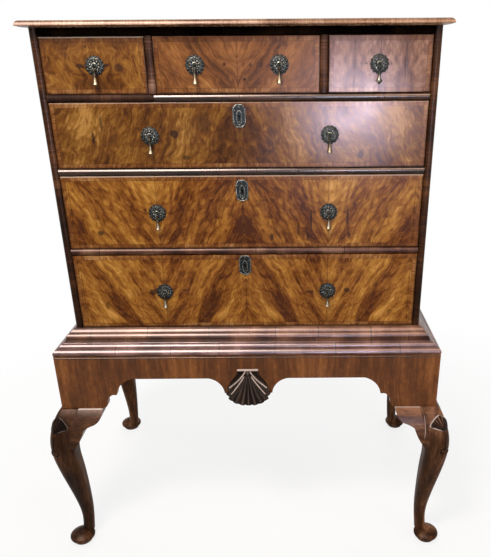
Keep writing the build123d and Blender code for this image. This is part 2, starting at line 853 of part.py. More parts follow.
for name, row, x, width, handles in drawers:
    save([drawer_front(row, x, width, handles)], f"{name}_front")
    save(drawer_box(row, x, width), f"{name}_box")
    height = handle_level(row)
    fittings = []
    for handle in handles:
        fittings += [handle_plate(handle, height), staple(handle, height), shank(handle, height)]
    save(fittings, f"{name}_handle_plates")
    sides = ["left", "right"] if len(handles) > 1 else [""]
    for side, handle in zip(sides, handles):
        save([drop(handle, height)], f"{name}_{side}_drop".replace("__", "_"))
    if row < short_row:
        save([escutcheon(row)], f"{name}_escutcheon")
        save([lock(row)], f"{name}_lock")
        save([bolt(row)], f"{name}_lock_bolt")
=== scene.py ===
import json
from functools import partial
from math import cos, radians, sin

import bmesh
import bpy
from mathutils import Matrix, Vector

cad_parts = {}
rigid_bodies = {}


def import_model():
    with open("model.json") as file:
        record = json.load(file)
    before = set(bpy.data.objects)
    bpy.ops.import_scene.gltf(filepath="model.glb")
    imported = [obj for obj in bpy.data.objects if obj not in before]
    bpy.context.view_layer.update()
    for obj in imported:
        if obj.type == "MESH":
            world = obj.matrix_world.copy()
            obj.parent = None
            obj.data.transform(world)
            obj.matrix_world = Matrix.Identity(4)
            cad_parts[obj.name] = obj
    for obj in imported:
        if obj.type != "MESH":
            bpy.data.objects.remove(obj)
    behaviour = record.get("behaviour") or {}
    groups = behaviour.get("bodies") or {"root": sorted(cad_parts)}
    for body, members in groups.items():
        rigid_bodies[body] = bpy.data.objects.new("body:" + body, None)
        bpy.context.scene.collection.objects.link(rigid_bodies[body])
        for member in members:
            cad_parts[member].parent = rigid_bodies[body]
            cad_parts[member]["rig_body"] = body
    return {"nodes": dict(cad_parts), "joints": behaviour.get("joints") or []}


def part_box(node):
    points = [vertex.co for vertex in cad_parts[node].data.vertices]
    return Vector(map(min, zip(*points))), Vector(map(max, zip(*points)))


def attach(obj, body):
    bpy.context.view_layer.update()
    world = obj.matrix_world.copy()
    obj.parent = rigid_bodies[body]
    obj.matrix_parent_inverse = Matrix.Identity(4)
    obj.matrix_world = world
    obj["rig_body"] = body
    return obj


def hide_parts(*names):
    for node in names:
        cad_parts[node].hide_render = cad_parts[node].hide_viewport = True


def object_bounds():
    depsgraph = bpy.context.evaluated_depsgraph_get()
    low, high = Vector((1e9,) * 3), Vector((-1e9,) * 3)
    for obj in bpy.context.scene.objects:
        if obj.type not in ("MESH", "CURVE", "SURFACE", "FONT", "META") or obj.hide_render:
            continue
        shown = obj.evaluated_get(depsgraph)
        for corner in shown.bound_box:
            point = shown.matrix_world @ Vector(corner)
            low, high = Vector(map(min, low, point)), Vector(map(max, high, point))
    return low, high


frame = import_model()
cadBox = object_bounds()
nodes = frame["nodes"]
bodyOf = {name: piece["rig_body"] for name, piece in nodes.items()}
scene = bpy.context.scene
scene.view_settings.view_transform = "Standard"
print("frame loaded:", len(nodes), "nodes")


# small helpers, used by every piece

def clearPick():
    if bpy.context.object and bpy.context.object.mode != "OBJECT":
        bpy.ops.object.mode_set(mode="OBJECT")
    bpy.ops.object.select_all(action="DESELECT")


def pickOnly(piece):
    clearPick()
    piece.select_set(True)
    bpy.context.view_layer.objects.active = piece
    return piece


def joinAll(pieces):
    clearPick()
    for piece in pieces:
        piece.select_set(True)
    bpy.context.view_layer.objects.active = pieces[0]
    bpy.ops.object.join()
    return pieces[0]


def freeze(piece):
    # place, turn and size go into the mesh
    pickOnly(piece)
    bpy.ops.object.transform_apply(location=True, rotation=True, scale=True)
    return piece


def addModifier(piece, kind, **settings):
    pickOnly(piece)
    modifier = piece.modifiers.new(kind.lower(), kind)
    for key, value in settings.items():
        setattr(modifier, key, value)
    bpy.ops.object.modifier_apply(modifier=modifier.name)


def meshCopy(piece, name, change=None):
    # a copy with a mesh of its own, shifted or turned by a matrix
    mesh = piece.data.copy()
    if change is not None:
        mesh.transform(change)
    made = bpy.data.objects.new(name, mesh)
    scene.collection.objects.link(made)
    return made


def openMerged(node, name):
    # a copy of a CAD mesh, left open for editing, whose doubled points are one again
    made = pickOnly(meshCopy(nodes[node], name))
    bpy.ops.object.mode_set(mode="EDIT")
    bpy.ops.mesh.select_all(action="SELECT")
    bpy.ops.mesh.remove_doubles(threshold=0.00002)
    bpy.ops.mesh.customdata_custom_splitnormals_clear()
    return made


def finishPiece(piece, name, node, material, angle=35):
    # the piece rides and is painted as the CAD node it belongs to
    freeze(piece)
    piece.name = name
    piece.data.name = name
    piece.data.materials.clear()
    piece.data.materials.append(material)
    bpy.ops.object.shade_smooth_by_angle(angle=radians(angle))
    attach(piece, bodyOf[node])
    return piece


def toLinear(hexColour):
    parts = [int(hexColour[i:i + 2], 16) / 255 for i in (1, 3, 5)]
    return tuple(c / 12.92 if c <= 0.04045 else ((c + 0.055) / 1.055) ** 2.4 for c in parts) + (1.0,)


def addNode(tree, kind, inputs=(), stops=None, **settings):
    # a kind in capitals is a Math node's operation; inputs are a list in socket order, or names
    # a node is linked by its first output, a socket as it is, and anything else is set
    if kind.isupper():
        kind, settings = "Math", {"operation": kind}
    made = tree.nodes.new("ShaderNode" + kind)
    for key, value in settings.items():
        setattr(made, key, value)
    for key, value in inputs.items() if isinstance(inputs, dict) else enumerate(inputs):
        if isinstance(value, bpy.types.Node):
            value = next(socket for socket in value.outputs if socket.enabled)
        if isinstance(value, bpy.types.NodeSocket):
            tree.links.new(value, made.inputs[key])
        else:
            made.inputs[key].default_value = toLinear(value) if isinstance(value, str) else value
    if stops:
        ramp = made.color_ramp
        ramp.elements[0].position, ramp.elements[0].color = stops[0]
        ramp.elements[-1].position, ramp.elements[-1].color = stops[-1]
        for place, colour in stops[1:-1]:
            ramp.elements.new(place).color = colour
    return made


def newMaterial(name):
    material = bpy.data.materials.new(name)
    material.use_nodes = True
    material.node_tree.nodes.clear()
    return material


def tones(*colours, places=(0.37, 0.435, 0.50, 0.565, 0.63)):
    return [(place, toLinear(colour)) for place, colour in zip(places, colours)]


# camera and studio

cameraView = {"place": (0.1238, -1.6908, 1.3408), "down": 23.0, "roll": -0.4,
              "lens": 38.78, "shift": (-0.0869, 0.0530)}
cameraData = bpy.data.cameras.new("camera")
cameraData.lens = cameraView["lens"]
cameraData.sensor_width = 36
cameraData.shift_x, cameraData.shift_y = cameraView["shift"]
camera = bpy.data.objects.new("camera", cameraData)
scene.collection.objects.link(camera)
tilt = Matrix.Rotation(radians(90 - cameraView["down"]), 4, "X")
roll = Matrix.Rotation(radians(cameraView["roll"]), 4, "Z")
camera.matrix_world = Matrix.Translation(cameraView["place"]) @ (tilt @ roll)
scene.camera = camera

studio = {
    "ceiling": {"place": (-0.6, -1.4, 2.95), "aim": (-0.1, -0.2, 0.9), "size": (0.6, 0.5), "power": 50,
                "colour": "#FFFAF4"},
    "strips": {"place": (-1.15, -2.1, 3.0), "aim": (-0.2, -0.25, 0.95), "size": (2.1, 2.0), "power": 560,
               "colour": "#FFF4EE", "onlyGloss": True},
    "warmStrip": {"place": (0.9, -2.1, 2.8), "aim": (0.2, -0.25, 0.95), "size": (1.1, 1.3), "power": 78,
                  "colour": "#FFDCC0", "onlyGloss": True},
    "window": {"place": (0.50, -2.8, 1.02), "aim": (0.27, 0, 1.2), "size": (0.46, 0.40), "power": 76,
               "colour": "#CCD8FF", "onlyGloss": True},
    "rightFill": {"place": (2.4, -2.2, 1.1), "aim": (0.3, 0, 0.6), "size": (1.2, 1.2), "power": 30,
                  "colour": "#FFF6F0"},
    "left": {"place": (-3.2, 0.8, 1.8), "size": (1.6, 1.8), "power": 22, "noGloss": True},
    "right": {"place": (3.2, 1.1, 1.8), "size": (1.6, 1.8), "power": 18, "noGloss": True},
    "back": {"place": (0.3, 3.2, 2.2), "size": (2.0, 1.4), "power": 40},
}
for name, lamp in studio.items():
    lampData = bpy.data.lights.new(name, "AREA")
    lampData.shape = "RECTANGLE"
    lampData.size, lampData.size_y = lamp["size"]
    lampData.energy = lamp["power"]
    lampData.color = toLinear(lamp.get("colour", "#FFFFFF"))[:3]
    light = bpy.data.objects.new(name, lampData)
    light.location = lamp["place"]
    aim = Vector(lamp.get("aim", (0, 0, 0.8))) - Vector(lamp["place"])
    light.rotation_euler = aim.to_track_quat("-Z", "Y").to_euler()
    light.visible_diffuse = not lamp.get("onlyGloss", False)
    light.visible_glossy = not lamp.get("noGloss", False)
    scene.collection.objects.link(light)



def seenRays(add):
    # 1 for the rays that meet the camera, straight on or by way of gloss and glass
    path = add("LightPath").outputs
    return add("MAXIMUM", [add("MAXIMUM", [path["Is Camera Ray"], path["Is Glossy Ray"]]),
                           path["Is Transmission Ray"]])


world = bpy.data.worlds.new("studio")
scene.world = world
world.use_nodes = True
world.node_tree.nodes.clear()
add = partial(addNode, world.node_tree)
level = add("MapRange", [seenRays(add), 0.0, 1.0, 0.32, 1.0])
add("OutputWorld", [add("Background", {"Color": (1, 1, 1, 1), "Strength": level})])

bpy.ops.mesh.primitive_plane_add(size=60, location=(0, 0, -0.0005))
floor = bpy.context.object
floor.name = "floor"
paper = newMaterial("white paper floor")  # pale matt paper that keeps the shadow and fades to white
floor.data.materials.append(paper)
add = partial(addNode, paper.node_tree)
reach = add("VectorMath", [add("TexCoord").outputs["Object"]], operation="LENGTH")
share = add("MULTIPLY", [add("MapRange", [reach, 0.7, 1.6, 0.8, 1.0]), seenRays(add)])
matt = add("BsdfDiffuse", {"Color": "#F0EFEC"})
glow = add("Emission", {"Color": (1, 1, 1, 1), "Strength": 1.0})
add("OutputMaterial", [add("MixShader", [share, matt, glow])])
print("camera and studio set")


# finishes

def polishedWood(material, colour, layers, height, look):
    # wax and shellac over wood: warm, tinted gloss, a little uneven where hands have rubbed it
    add = partial(addNode, material.node_tree)
    for share, over in layers:
        colour = add("Mix", {"Factor": share, "A": colour, "B": over}, data_type="RGBA")
    rubbed = add("TexNoise", {"Vector": add("TexCoord").outputs["Object"], "Scale": 9.0, "Detail": 4.0})
    rough = add("MapRange", [rubbed, 0.3, 0.7, *look["rough"]])
    bump = add("Bump", {"Height": height, "Strength": look.get("bump", 0.2), "Distance": 0.0003})
    surface = add("BsdfPrincipled", {"Base Color": colour, "Roughness": rough, "Normal": bump, "IOR": 1.5,
            "Specular IOR Level": look.get("gloss", 0.11),
            "Specular Tint": look.get("tint", "#FFE4D8")})
    add("OutputMaterial", [surface])
    return material


def veneer(look):
    # figured walnut veneer, sliced from one log and opened like a book: each leaf mirrors its neighbour
    material = newMaterial(look["name"])
    add = partial(addNode, material.node_tree)
    spot = add("TexCoord").outputs["Object"]
    centred = add("Mapping", {"Vector": spot, "Location": [-c for c in look["centre"]]})
    parts = add("SeparateXYZ", [centred]).outputs
    across, along = (parts[axis] for axis in look["axes"])
    flow = add("TexNoise", {"Vector": centred, "Scale": 7.0, "Detail": 3.0})
    sway = add("MapRange", [flow, 0.25, 0.75, -look["sway"], look["sway"]])
    folded = add("ABSOLUTE", [across])
    leaf = add("PINGPONG", [folded, look["leaf"]])
    swayed = add("ADD", [add("MULTIPLY_ADD", [along, look["slant"], leaf]), sway])
    # broad dark rays along the growth rings, narrower ones inside them, mottling, and fine fibre over all
    shares = [look.get(share, 0.2) for share in ("bandShare", "rayShare", "mottleShare", "fibreShare",
            "cloudShare")]
    figure = (1 - sum(shares)) / 2
    for share, scale, lean in ((shares[0], look["bandScale"], 0.10), (shares[1], 75.0, 0.05)):
        raySpot = add("CombineXYZ", [swayed, add("MULTIPLY", [along, lean]), look["seed"]])
        ray = add("TexNoise", {"Vector": raySpot, "Scale": scale, "Detail": 2.5, "Roughness": 0.5})
        figure = add("MULTIPLY_ADD", [ray, share, figure])
    mottleSpot = add("CombineXYZ", [swayed, add("MULTIPLY", [along, 0.5]), look["seed"] + 3])
    mottle = add("TexNoise", {"Vector": mottleSpot, "Scale": 85.0, "Detail": 7.0, "Roughness": 0.66,
            "Distortion": 0.5})
    fibreSpot = add("CombineXYZ", [add("MULTIPLY", [swayed, 260.0]), add("MULTIPLY", [along, 16.0]),
            look["seed"]])
    fibre = add("TexNoise", {"Vector": fibreSpot, "Scale": 1.0, "Detail": 4.0})
    cloud = add("TexNoise", {"Vector": mottleSpot, "Scale": 12.0, "Detail": 2.0})
    for pattern, share in zip((mottle, fibre, cloud), shares[2:]):
        figure = add("MULTIPLY_ADD", [pattern, share, figure])
    inner = add("LESS_THAN", [folded, look["leaf"]])
    figure = add("MULTIPLY_ADD", [inner, -look.get("innerDark", 0.0), figure])
    colour = add("ValToRGB", [figure], stops=look["tones"])
    # leaf joints: a hairline of glue and dirt
    gap = add("MINIMUM", [leaf, add("SUBTRACT", [look["leaf"], leaf])])
    joint = add("MapRange", [gap, 0.0004, 0.0016, look.get("jointDepth", 0.5), 0.0])
    layers = [(joint, "#2C1608")]
    # shrinkage cracks follow the rays
    for place in look.get("cracks", ()):
        crack = add("COMPARE", [swayed, place, 0.0007])
        cracked = add("MapRange", [cloud, 0.40, 0.52, 0.0, 0.75])
        layers.append((add("MULTIPLY", [crack, cracked]), "#27140A"))
    # knots, plugs and stains: place, half width, half height, depth of colour
    for x, z, wide, tall, strength in look.get("marks", ()):
        local = add("Mapping", {"Vector": centred, "Location": (-x / wide, 0, -z / tall),
                                "Scale": (1 / wide, 0, 1 / tall)})
        ragged = add("ADD", [add("VectorMath", [local], operation="LENGTH"), mottle])
        layers.append((add("MapRange", [ragged, 1.2, 1.6, strength, 0.0]), "#24130B"))
    if look.get("half"):
        # cross-banding: a border laid with its grain square to the edge, darker than the field
        halfWide, halfTall = look["half"]
        border = look["border"]
        fromSide = add("SUBTRACT", [halfWide, folded])
        fromEnd = add("SUBTRACT", [halfTall, add("ABSOLUTE", [along])])
        edge = add("MINIMUM", [fromSide, fromEnd])
        inBand = add("MapRange", [edge, border - 0.0004, border + 0.0004,
                look.get("borderDepth", 0.75), 0.0])
        atSide = add("LESS_THAN", [fromSide, fromEnd])
        streakAlong = add("Mix", {"Factor": atSide, "A": across, "B": along}, data_type="FLOAT")
        streakSpot = add("CombineXYZ", [add("MULTIPLY", [streakAlong, 300.0]),
                                        add("MULTIPLY", [edge, 30.0]), look["seed"] + 7])
        streak = add("TexNoise", {"Vector": streakSpot, "Scale": 1.0, "Detail": 5.0})
        patch = add("MULTIPLY_ADD", [flow, 0.6, add("MULTIPLY", [streak, 0.4])])
        patch = add("MULTIPLY_ADD", [mottle, 0.35, add("MULTIPLY", [patch, 0.65])])
        layers.append((inBand, add("ValToRGB", [patch], stops=look["borderTones"])))
        layers.append((add("MULTIPLY", [add("COMPARE", [edge, border, 0.0009]), 0.35]), "#2E180C"))
        # painted shade darkens the last millimetres of the sides and bottom, where the gaps and beads shade
        # the face, and a painted highlight makes the top edge pale
        edgeShade = add("MapRange", [edge, 0.0005, 0.0045, look.get("edgeShade", 0.75), 0.0])
        above = add("SUBTRACT", [halfTall, along])
        layers.append((add("MULTIPLY", [edgeShade, add("GREATER_THAN", [above, 0.005])]), "#1C0D06"))
        # painted highlight: the top edge is painted pale
        rubbed = add("MapRange", [above, 0.0016, 0.0028, look.get("topEdgeHighlight", 0.0), 0.0])
        layers.append((rubbed, "#C9B6A6"))
    return polishedWood(material, colour, layers, add("SUBTRACT", [fibre, joint]), look)


def crossGrain(look):
    # short lengths of walnut side by side with the grain across, so each catches light its own way
    material = newMaterial(look["name"])
    add = partial(addNode, material.node_tree)
    coords = add("TexCoord").outputs
    parts = add("SeparateXYZ", [coords["Object"]]).outputs
    run = parts[look["run"]]
    if look.get("returns"):
        # on the returns the run turns the corner
        facing = add("SeparateXYZ", [coords["Normal"]]).outputs["X"]
        onReturn = add("GREATER_THAN", [add("ABSOLUTE", [facing]), 0.02])
        run = add("Mix", {"Factor": onReturn, "A": run, "B": parts["Y"]}, data_type="FLOAT")
    shifted = add("ADD", [run, look["shift"]])
    if look.get("levels"):
        # the lower members are cut into their own lengths
        shifted = add("MULTIPLY_ADD", [add("LESS_THAN", [parts["Z"], look["levels"]]), 3.7, shifted])
    count = add("MULTIPLY", [shifted, 1 / look["length"]])
    cell, away = (add("TexVoronoi", {"W": count, "Scale": 1.0, "Randomness": 0.55}, voronoi_dimensions="1D",
                      feature=feature) for feature in ("F1", "DISTANCE_TO_EDGE"))
    streakSpot = add("CombineXYZ", [add("MULTIPLY", [run, 260.0]), add("MULTIPLY", [parts["Z"], 9.0]),
            add("MULTIPLY", [parts["Y"], 9.0])])
    streak = add("TexNoise", {"Vector": streakSpot, "Scale": 1.0, "Detail": 4.0})
    cloud = add("TexNoise", {"Vector": coords["Object"], "Scale": 14.0, "Detail": 3.0})
    pieceTone = add("SeparateColor", [cell.outputs["Color"]])
    pieceTone = add("MapRange", [pieceTone, 0.0, 1.0, -look["spread"], look["spread"]])
    streakShare = look.get("streakShare", 0.4)
    mixed = add("MULTIPLY_ADD", [streak, streakShare, pieceTone])
    mixed = add("MULTIPLY_ADD", [cloud, 1 - streakShare, mixed])
    colour = add("ValToRGB", [mixed], stops=look["tones"])
    joint = add("MapRange", [away, 0.0008 / look["length"], 0.0016 / look["length"], 0.9, 0.0])
    layers = [(joint, "#140904")]
    if look.get("shade"):
        # painted shade under the overhang, darker towards the top
        layers.append((add("MapRange", [parts["Z"], *look["shade"], 0.0, 0.9]), "#0C0604"))
    height = add("MULTIPLY_ADD", [streak, 0.08, add("MULTIPLY", [joint, -1.0])])
    return polishedWood(material, colour, layers, height, look)


def solidWood(look):
    # sawn or carved wood: long grain down one axis, pores as short dark dashes
    material = newMaterial(look["name"])
    add = partial(addNode, material.node_tree)
    spot = add("TexCoord").outputs["Object"]
    parts = add("SeparateXYZ", [spot]).outputs
    turned = add("Mapping", {"Vector": spot, "Scale": look["stretch"]})
    waves = add("TexNoise", {"Vector": turned, "Scale": look["scale"], "Detail": 5.0, "Roughness": 0.55,
            "Distortion": 0.4})
    fine = add("TexNoise", {"Vector": turned, "Scale": look["scale"] * 9, "Detail": 4.0})
    patch = add("TexNoise", {"Vector": spot, "Scale": 5.0, "Detail": 2.0})
    mixed = add("MULTIPLY_ADD", [waves, 0.5, add("MULTIPLY", [fine, 0.2])])
    mixed = add("MULTIPLY_ADD", [patch, 0.3, mixed])
    if look.get("paintedLift"):
        # painted light: the leg is painted paler and redder up by the frieze, and more so on the right,
        # where more light falls
        low, high, amount = look["paintedLift"]
        paintedLift = add("MapRange", [parts["Z"], low, high, 0.0, amount])
        sideLift = add("MapRange", [parts["X"], -0.5, 0.5, look["leftLift"], look["rightLift"]])
        mixed = add("MULTIPLY_ADD", [paintedLift, sideLift, mixed])
    colour = add("ValToRGB", [mixed], stops=look["tones"])
    layers = []
    if look.get("boards"):
        # wide boards side by side: each has its own tone, with a dark line where they meet
        wide = look["boards"]
        count = add("MULTIPLY_ADD", [parts["X"], 1 / wide, 0.5])
        away = add("ABSOLUTE", [add("SUBTRACT", [add("FRACT", [count]), 0.5])])
        gap = add("MapRange", [away, 0.5 - 0.0022 / wide, 0.5 - 0.0012 / wide, 0.0, 0.92])
        number = add("TexWhiteNoise", {"W": add("FLOOR", [count])}, noise_dimensions="1D")
        level = add("MapRange", [number, 0.0, 1.0, 0.72, 1.1])
        colour = add("Mix", {"Factor": 1.0, "A": colour, "B": level}, data_type="RGBA",
                     blend_type="MULTIPLY")
        layers.append((gap, "#0C0806"))
    if look.get("crest"):
        # painted shade makes the carving black in the cuts, and a painted highlight makes it pale along the
        # crests
        wearAndLight = add("Attribute", attribute_name="wearAndLight").outputs["Fac"]
        layers.append((add("MapRange", [wearAndLight, 0.08, 0.27, 0.85, 0.0]), "#060302"))
        layers.append((add("MapRange", [wearAndLight, 0.34, 1.0, 0.0, 0.9]), look["crest"]))
    if look.get("ledge"):
        # the top edge stands proud of the frieze; a painted highlight makes it pale, fading towards the
        # right
        worn = add("MapRange", [parts["Z"], look["ledge"] - 0.0022, look["ledge"] - 0.0014, 0.0, 0.85])
        fading = add("MapRange", [parts["X"], -0.4, 0.4, 1.0, 0.35])
        layers.append((add("MULTIPLY", [worn, fading]), "#CBBDB4"))
    return polishedWood(material, colour, layers, fine, look)


def oldMetal(look):
    # cast or stamped metal: dark in the hollows, rubbed bright on what stands proud
    material = newMaterial(look["name"])
    add = partial(addNode, material.node_tree)
    spot = add("TexCoord").outputs["Object"]
    speckle = add("TexNoise", {"Vector": spot, "Scale": look["scale"], "Detail": 5.0, "Roughness": 0.6})
    wearAndLight = add("Attribute", attribute_name="wearAndLight").outputs["Fac"]
    wear = add("MULTIPLY_ADD", [wearAndLight, look.get("rubShare", 0.5), speckle])
    base = add("ValToRGB", [wear], stops=look["tones"])
    rough = add("MapRange", [speckle, 0.3, 0.7, *look["rough"]])
    bump = add("Bump", {"Height": speckle, "Strength": look["bump"], "Distance": 0.0002})
    surface = add("BsdfPrincipled", {"Base Color": base, "Metallic": look["metallic"], "Roughness": rough,
            "Normal": bump})
    add("OutputMaterial", [surface])
    return material


figurePlaces = (0.395, 0.45, 0.50, 0.55, 0.605)
goldenWalnut = tones("#421E07", "#68390F", "#88551F", "#A3702C", "#C8924C", places=figurePlaces)
upperWalnut = tones("#3A1A06", "#56300D", "#714416", "#8A5D24", "#AE7D3F", places=figurePlaces)
deepWalnut = tones("#351805", "#502C0B", "#693F13", "#815720", "#A4763B", places=figurePlaces)
redWalnut = tones("#2B1913", "#432A20", "#5F3F31", "#79533F", "#96705A", places=figurePlaces)
brownWalnut = tones("#3C1E0C", "#573316", "#754621", "#8E5C2E", "#A97843")
darkBorder = tones("#331807", "#51290E", "#6F401A", "#8E5F34", "#AE8456")

# the six drawer fronts: bold walnut figure in a darker crossbanded border
frontCommon = dict(axes=("X", "Z"), border=0.011, sway=0.012, bandScale=17.0, bandShare=0.40,
               rayShare=0.14, mottleShare=0.40, fibreShare=0.09, cloudShare=0.13,
               tones=goldenWalnut, borderTones=darkBorder, rough=(0.24, 0.34))
frontLooks = dict(
    bottom_drawer=dict(
        leaf=0.211, slant=0.50, seed=1.7, innerDark=0.02, cracks=(0.032, 0.090),
        marks=[(-0.241, 0.0, 0.011, 0.009, 0.85), (0.262, 0.002, 0.008, 0.007, 0.85),
                  (-0.158, 0.004, 0.010, 0.004, 0.6), (0.166, -0.002, 0.012, 0.004, 0.7),
                  (0.375, -0.06, 0.008, 0.008, 0.4), (-0.365, -0.04, 0.006, 0.012, 0.4)]),
    centre_drawer=dict(
        leaf=0.211, slant=0.46, seed=4.1, innerDark=0.03, cracks=(0.061,), topEdgeHighlight=0.55,
        marks=[(-0.357, -0.05, 0.009, 0.007, 0.8), (0.168, -0.02, 0.003, 0.03, 0.85),
                  (0.160, -0.062, 0.004, 0.012, 0.8), (0.135, -0.045, 0.003, 0.02, 0.6),
                  (0.258, -0.01, 0.003, 0.028, 0.8), (0.262, -0.060, 0.004, 0.009, 0.8),
                  (0.070, -0.062, 0.005, 0.010, 0.8), (-0.240, 0.008, 0.004, 0.004, 0.7)]),
    upper_drawer=dict(
        leaf=0.46, slant=0.35, seed=8.6, sway=0.02, bandShare=0.3, cloudShare=0.26,
        topEdgeHighlight=0.2, tones=deepWalnut, rough=(0.17, 0.27), gloss=0.16,
        marks=[(-0.154, 0.004, 0.011, 0.010, 0.85), (-0.345, -0.004, 0.004, 0.018, 0.8),
                  (0.285, -0.045, 0.008, 0.010, 0.8), (0.262, 0.006, 0.0035, 0.0035, 0.85),
                  (0.176, 0.004, 0.004, 0.004, 0.7), (-0.13, -0.05, 0.009, 0.006, 0.7),
                  (-0.322, 0.03, 0.004, 0.022, 0.6), (-0.085, 0.03, 0.018, 0.022, 0.4),
                  (0.075, -0.01, 0.014, 0.03, 0.35)]),
    left_short_drawer=dict(
        leaf=0.3, slant=0.2, tones=upperWalnut, seed=12.3, sway=0.04, jointDepth=0.0,
        cloudShare=0.3, topEdgeHighlight=0.9,
        marks=[(0.053, -0.004, 0.011, 0.009, 0.55), (-0.014, 0.04, 0.003, 0.003, 0.8),
                  (-0.030, 0.0, 0.012, 0.005, 0.75), (0.028, 0.001, 0.007, 0.003, 0.8)]),
    middle_short_drawer=dict(
        leaf=0.19, slant=-0.5, seed=15.9, sway=0.03, cracks=(0.004, 0.03), tones=brownWalnut,
        marks=[(-0.029, 0.002, 0.004, 0.004, 0.9), (0.108, 0.043, 0.007, 0.007, 0.5),
                  (0.016, -0.03, 0.005, 0.003, 0.9), (0.030, 0.0, 0.004, 0.006, 0.6),
                  (0.054, 0.0, 0.004, 0.006, 0.6), (0.014, 0.0, 0.003, 0.006, 0.5)]),
    right_short_drawer=dict(
        leaf=0.058, slant=0.04, seed=19.2, tones=redWalnut, jointDepth=0.75,
        rough=(0.17, 0.27), gloss=0.16,
        marks=[(-0.031, 0.002, 0.003, 0.003, 0.9), (-0.042, 0.001, 0.003, 0.003, 0.6),
                  (0.026, 0.001, 0.003, 0.004, 0.6)]),
)
frontMaterials = dict()
for drawer, look in frontLooks.items():
    low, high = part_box(drawer + "_front")
    place = dict(name=drawer.replace("_", " ") + " figured walnut veneer", centre=(low + high) / 2,
             half=((high.x - low.x) / 2, (high.z - low.z) / 2))
    frontMaterials[drawer] = veneer({**frontCommon, **place, **look})

# plainer walnut down the sides, in two leaves
caseVeneer = veneer(dict(
    name="case side walnut veneer", axes=("Y", "Z"), leaf=0.262, slant=0.12, sway=0.03, seed=23.0,
    centre=(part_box("case_side_left")[0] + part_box("case_side_right")[1]) / 2,
    bandScale=14.0, bandShare=0.45, rayShare=0.15, mottleShare=0.25, fibreShare=0.12,
    tones=brownWalnut, half=(0.262, 0.386), border=0.03, borderTones=darkBorder, rough=(0.28, 0.4)))
# straighter, redder walnut round the frieze
friezeLook = dict(
    name="frieze walnut veneer", centre=(0, 0, 0.5), axes=("X", "Z"), leaf=0.17, slant=0.03,
    sway=0.006, seed=31.0, bandScale=16.0, bandShare=0.32, rayShare=0.26, mottleShare=0.22,
    fibreShare=0.20, tones=tones("#381C08", "#4B280D", "#5E3413", "#73431C", "#8C582B"),
    rough=(0.3, 0.42), jointDepth=0.0, gloss=0.2)
friezeVeneer = veneer(friezeLook)
sideFriezeVeneer = veneer(dict(friezeLook, name="side frieze walnut veneer", axes=("Y", "Z"), seed=37.0))
# quartered walnut on the top in a pale crossbanded border, glossy at the moulded edge and dull on the flat
topLook = dict(
    name="top walnut veneer", centre=(0, 0.015, 1.4), axes=("X", "Y"), leaf=0.24, slant=0.3,
    sway=0.02, seed=41.0, bandScale=14.0, bandShare=0.40, rayShare=0.14, mottleShare=0.34,
    fibreShare=0.07, tones=brownWalnut, half=(0.478, 0.2755), border=0.045, borderDepth=1.0,
    borderTones=tones("#4A2C18", "#664630", "#826048", "#9C7C64", "#B89A84"),
    rough=(0.2, 0.3), gloss=0.21, edgeShade=0.0)
topVeneer = veneer(topLook)
topFaceVeneer = veneer(dict(topLook, name="worn top walnut veneer", rough=(0.38, 0.5), gloss=0.04))

# dark beads up the stiles, with painted shade under the overhang; the beads on the dividers are painted
# paler, a painted highlight
stileLook = dict(
    name="cross-grain walnut bead upright", run="Z", length=0.09, shift=0.3, spread=0.04,
    tones=tones("#130703", "#1F0F05", "#2F1809", "#432612", "#5E3A20"), rough=(0.26, 0.36), gloss=0.08,
    shade=(1.372, 1.39))
stileBeadWood = crossGrain(stileLook)
# painted highlight: the same bead in paler tones
litDividerBeadWood = crossGrain(dict(
    stileLook, name="rubbed cross-grain walnut bead upright",
    tones=tones("#20100A", "#341D12", "#4C2E1E", "#694634", "#8C6A56")))
# nearly black beads along the rails, with a sharp pale line of gloss
railLook = dict(
    name="cross-grain walnut bead level", run="X", length=0.17, shift=0.3, spread=0.03,
    streakShare=0.15, tones=tones("#120703", "#1A0C05", "#241208", "#301A0E", "#412819"),
    rough=(0.2, 0.26), gloss=0.36, tint="#FFEEE4")
railBeadWood = crossGrain(railLook)
# the same bead where its gloss has gone, so it stays dark
dullBeadWood = crossGrain(dict(
    name="cross-grain walnut bead with its polish gone", run="X", length=0.15, shift=0.3,
    spread=0.03, rough=(0.6, 0.7), gloss=0.05,
    tones=tones("#140904", "#1E0E07", "#29160C", "#382014", "#4A2E1E")))
# lower down it is browner, and its line of gloss is broad and faint
lowBeadWood = crossGrain(dict(
    name="cross-grain walnut bead, worn", run="X", length=0.19, shift=0.31, spread=0.04,
    streakShare=0.15, rough=(0.26, 0.4), gloss=0.13,
    tones=tones("#200E07", "#2F170D", "#432518", "#583828", "#704F3C")))
# painted shade: the bead under the overhang is painted flat black, without gloss
shadeBlackBeadWood = crossGrain(dict(
    name="bead painted black for the shade under the overhang", run="X", length=0.14, shift=0.3,
    spread=0.03, rough=(0.8, 0.9), gloss=0.0,
    tones=tones("#040201", "#070403", "#0B0604", "#120A06", "#1C110A")))
# the waist: glossy blocks of slightly different reddish browns, greyer on the lower beads
waistLook = dict(
    name="cross-grain walnut moulding", run="X", returns=True, levels=0.638, length=0.15,
    shift=0.37, spread=0.03, streakShare=0.12, rough=(0.30, 0.38), gloss=0.36,
    tones=tones("#44261A", "#522F20", "#613B29", "#714A36", "#835C46"), tint="#FFEFE8", bump=0.03)
waistWood = crossGrain(waistLook)
lowWaistWood = crossGrain(dict(
    waistLook, name="pale rubbed cross-grain walnut", rough=(0.28, 0.36), gloss=0.44, tint="#FFF2F2",
    tones=tones("#432821", "#513229", "#5F3E35", "#6F4D44", "#805F57")))
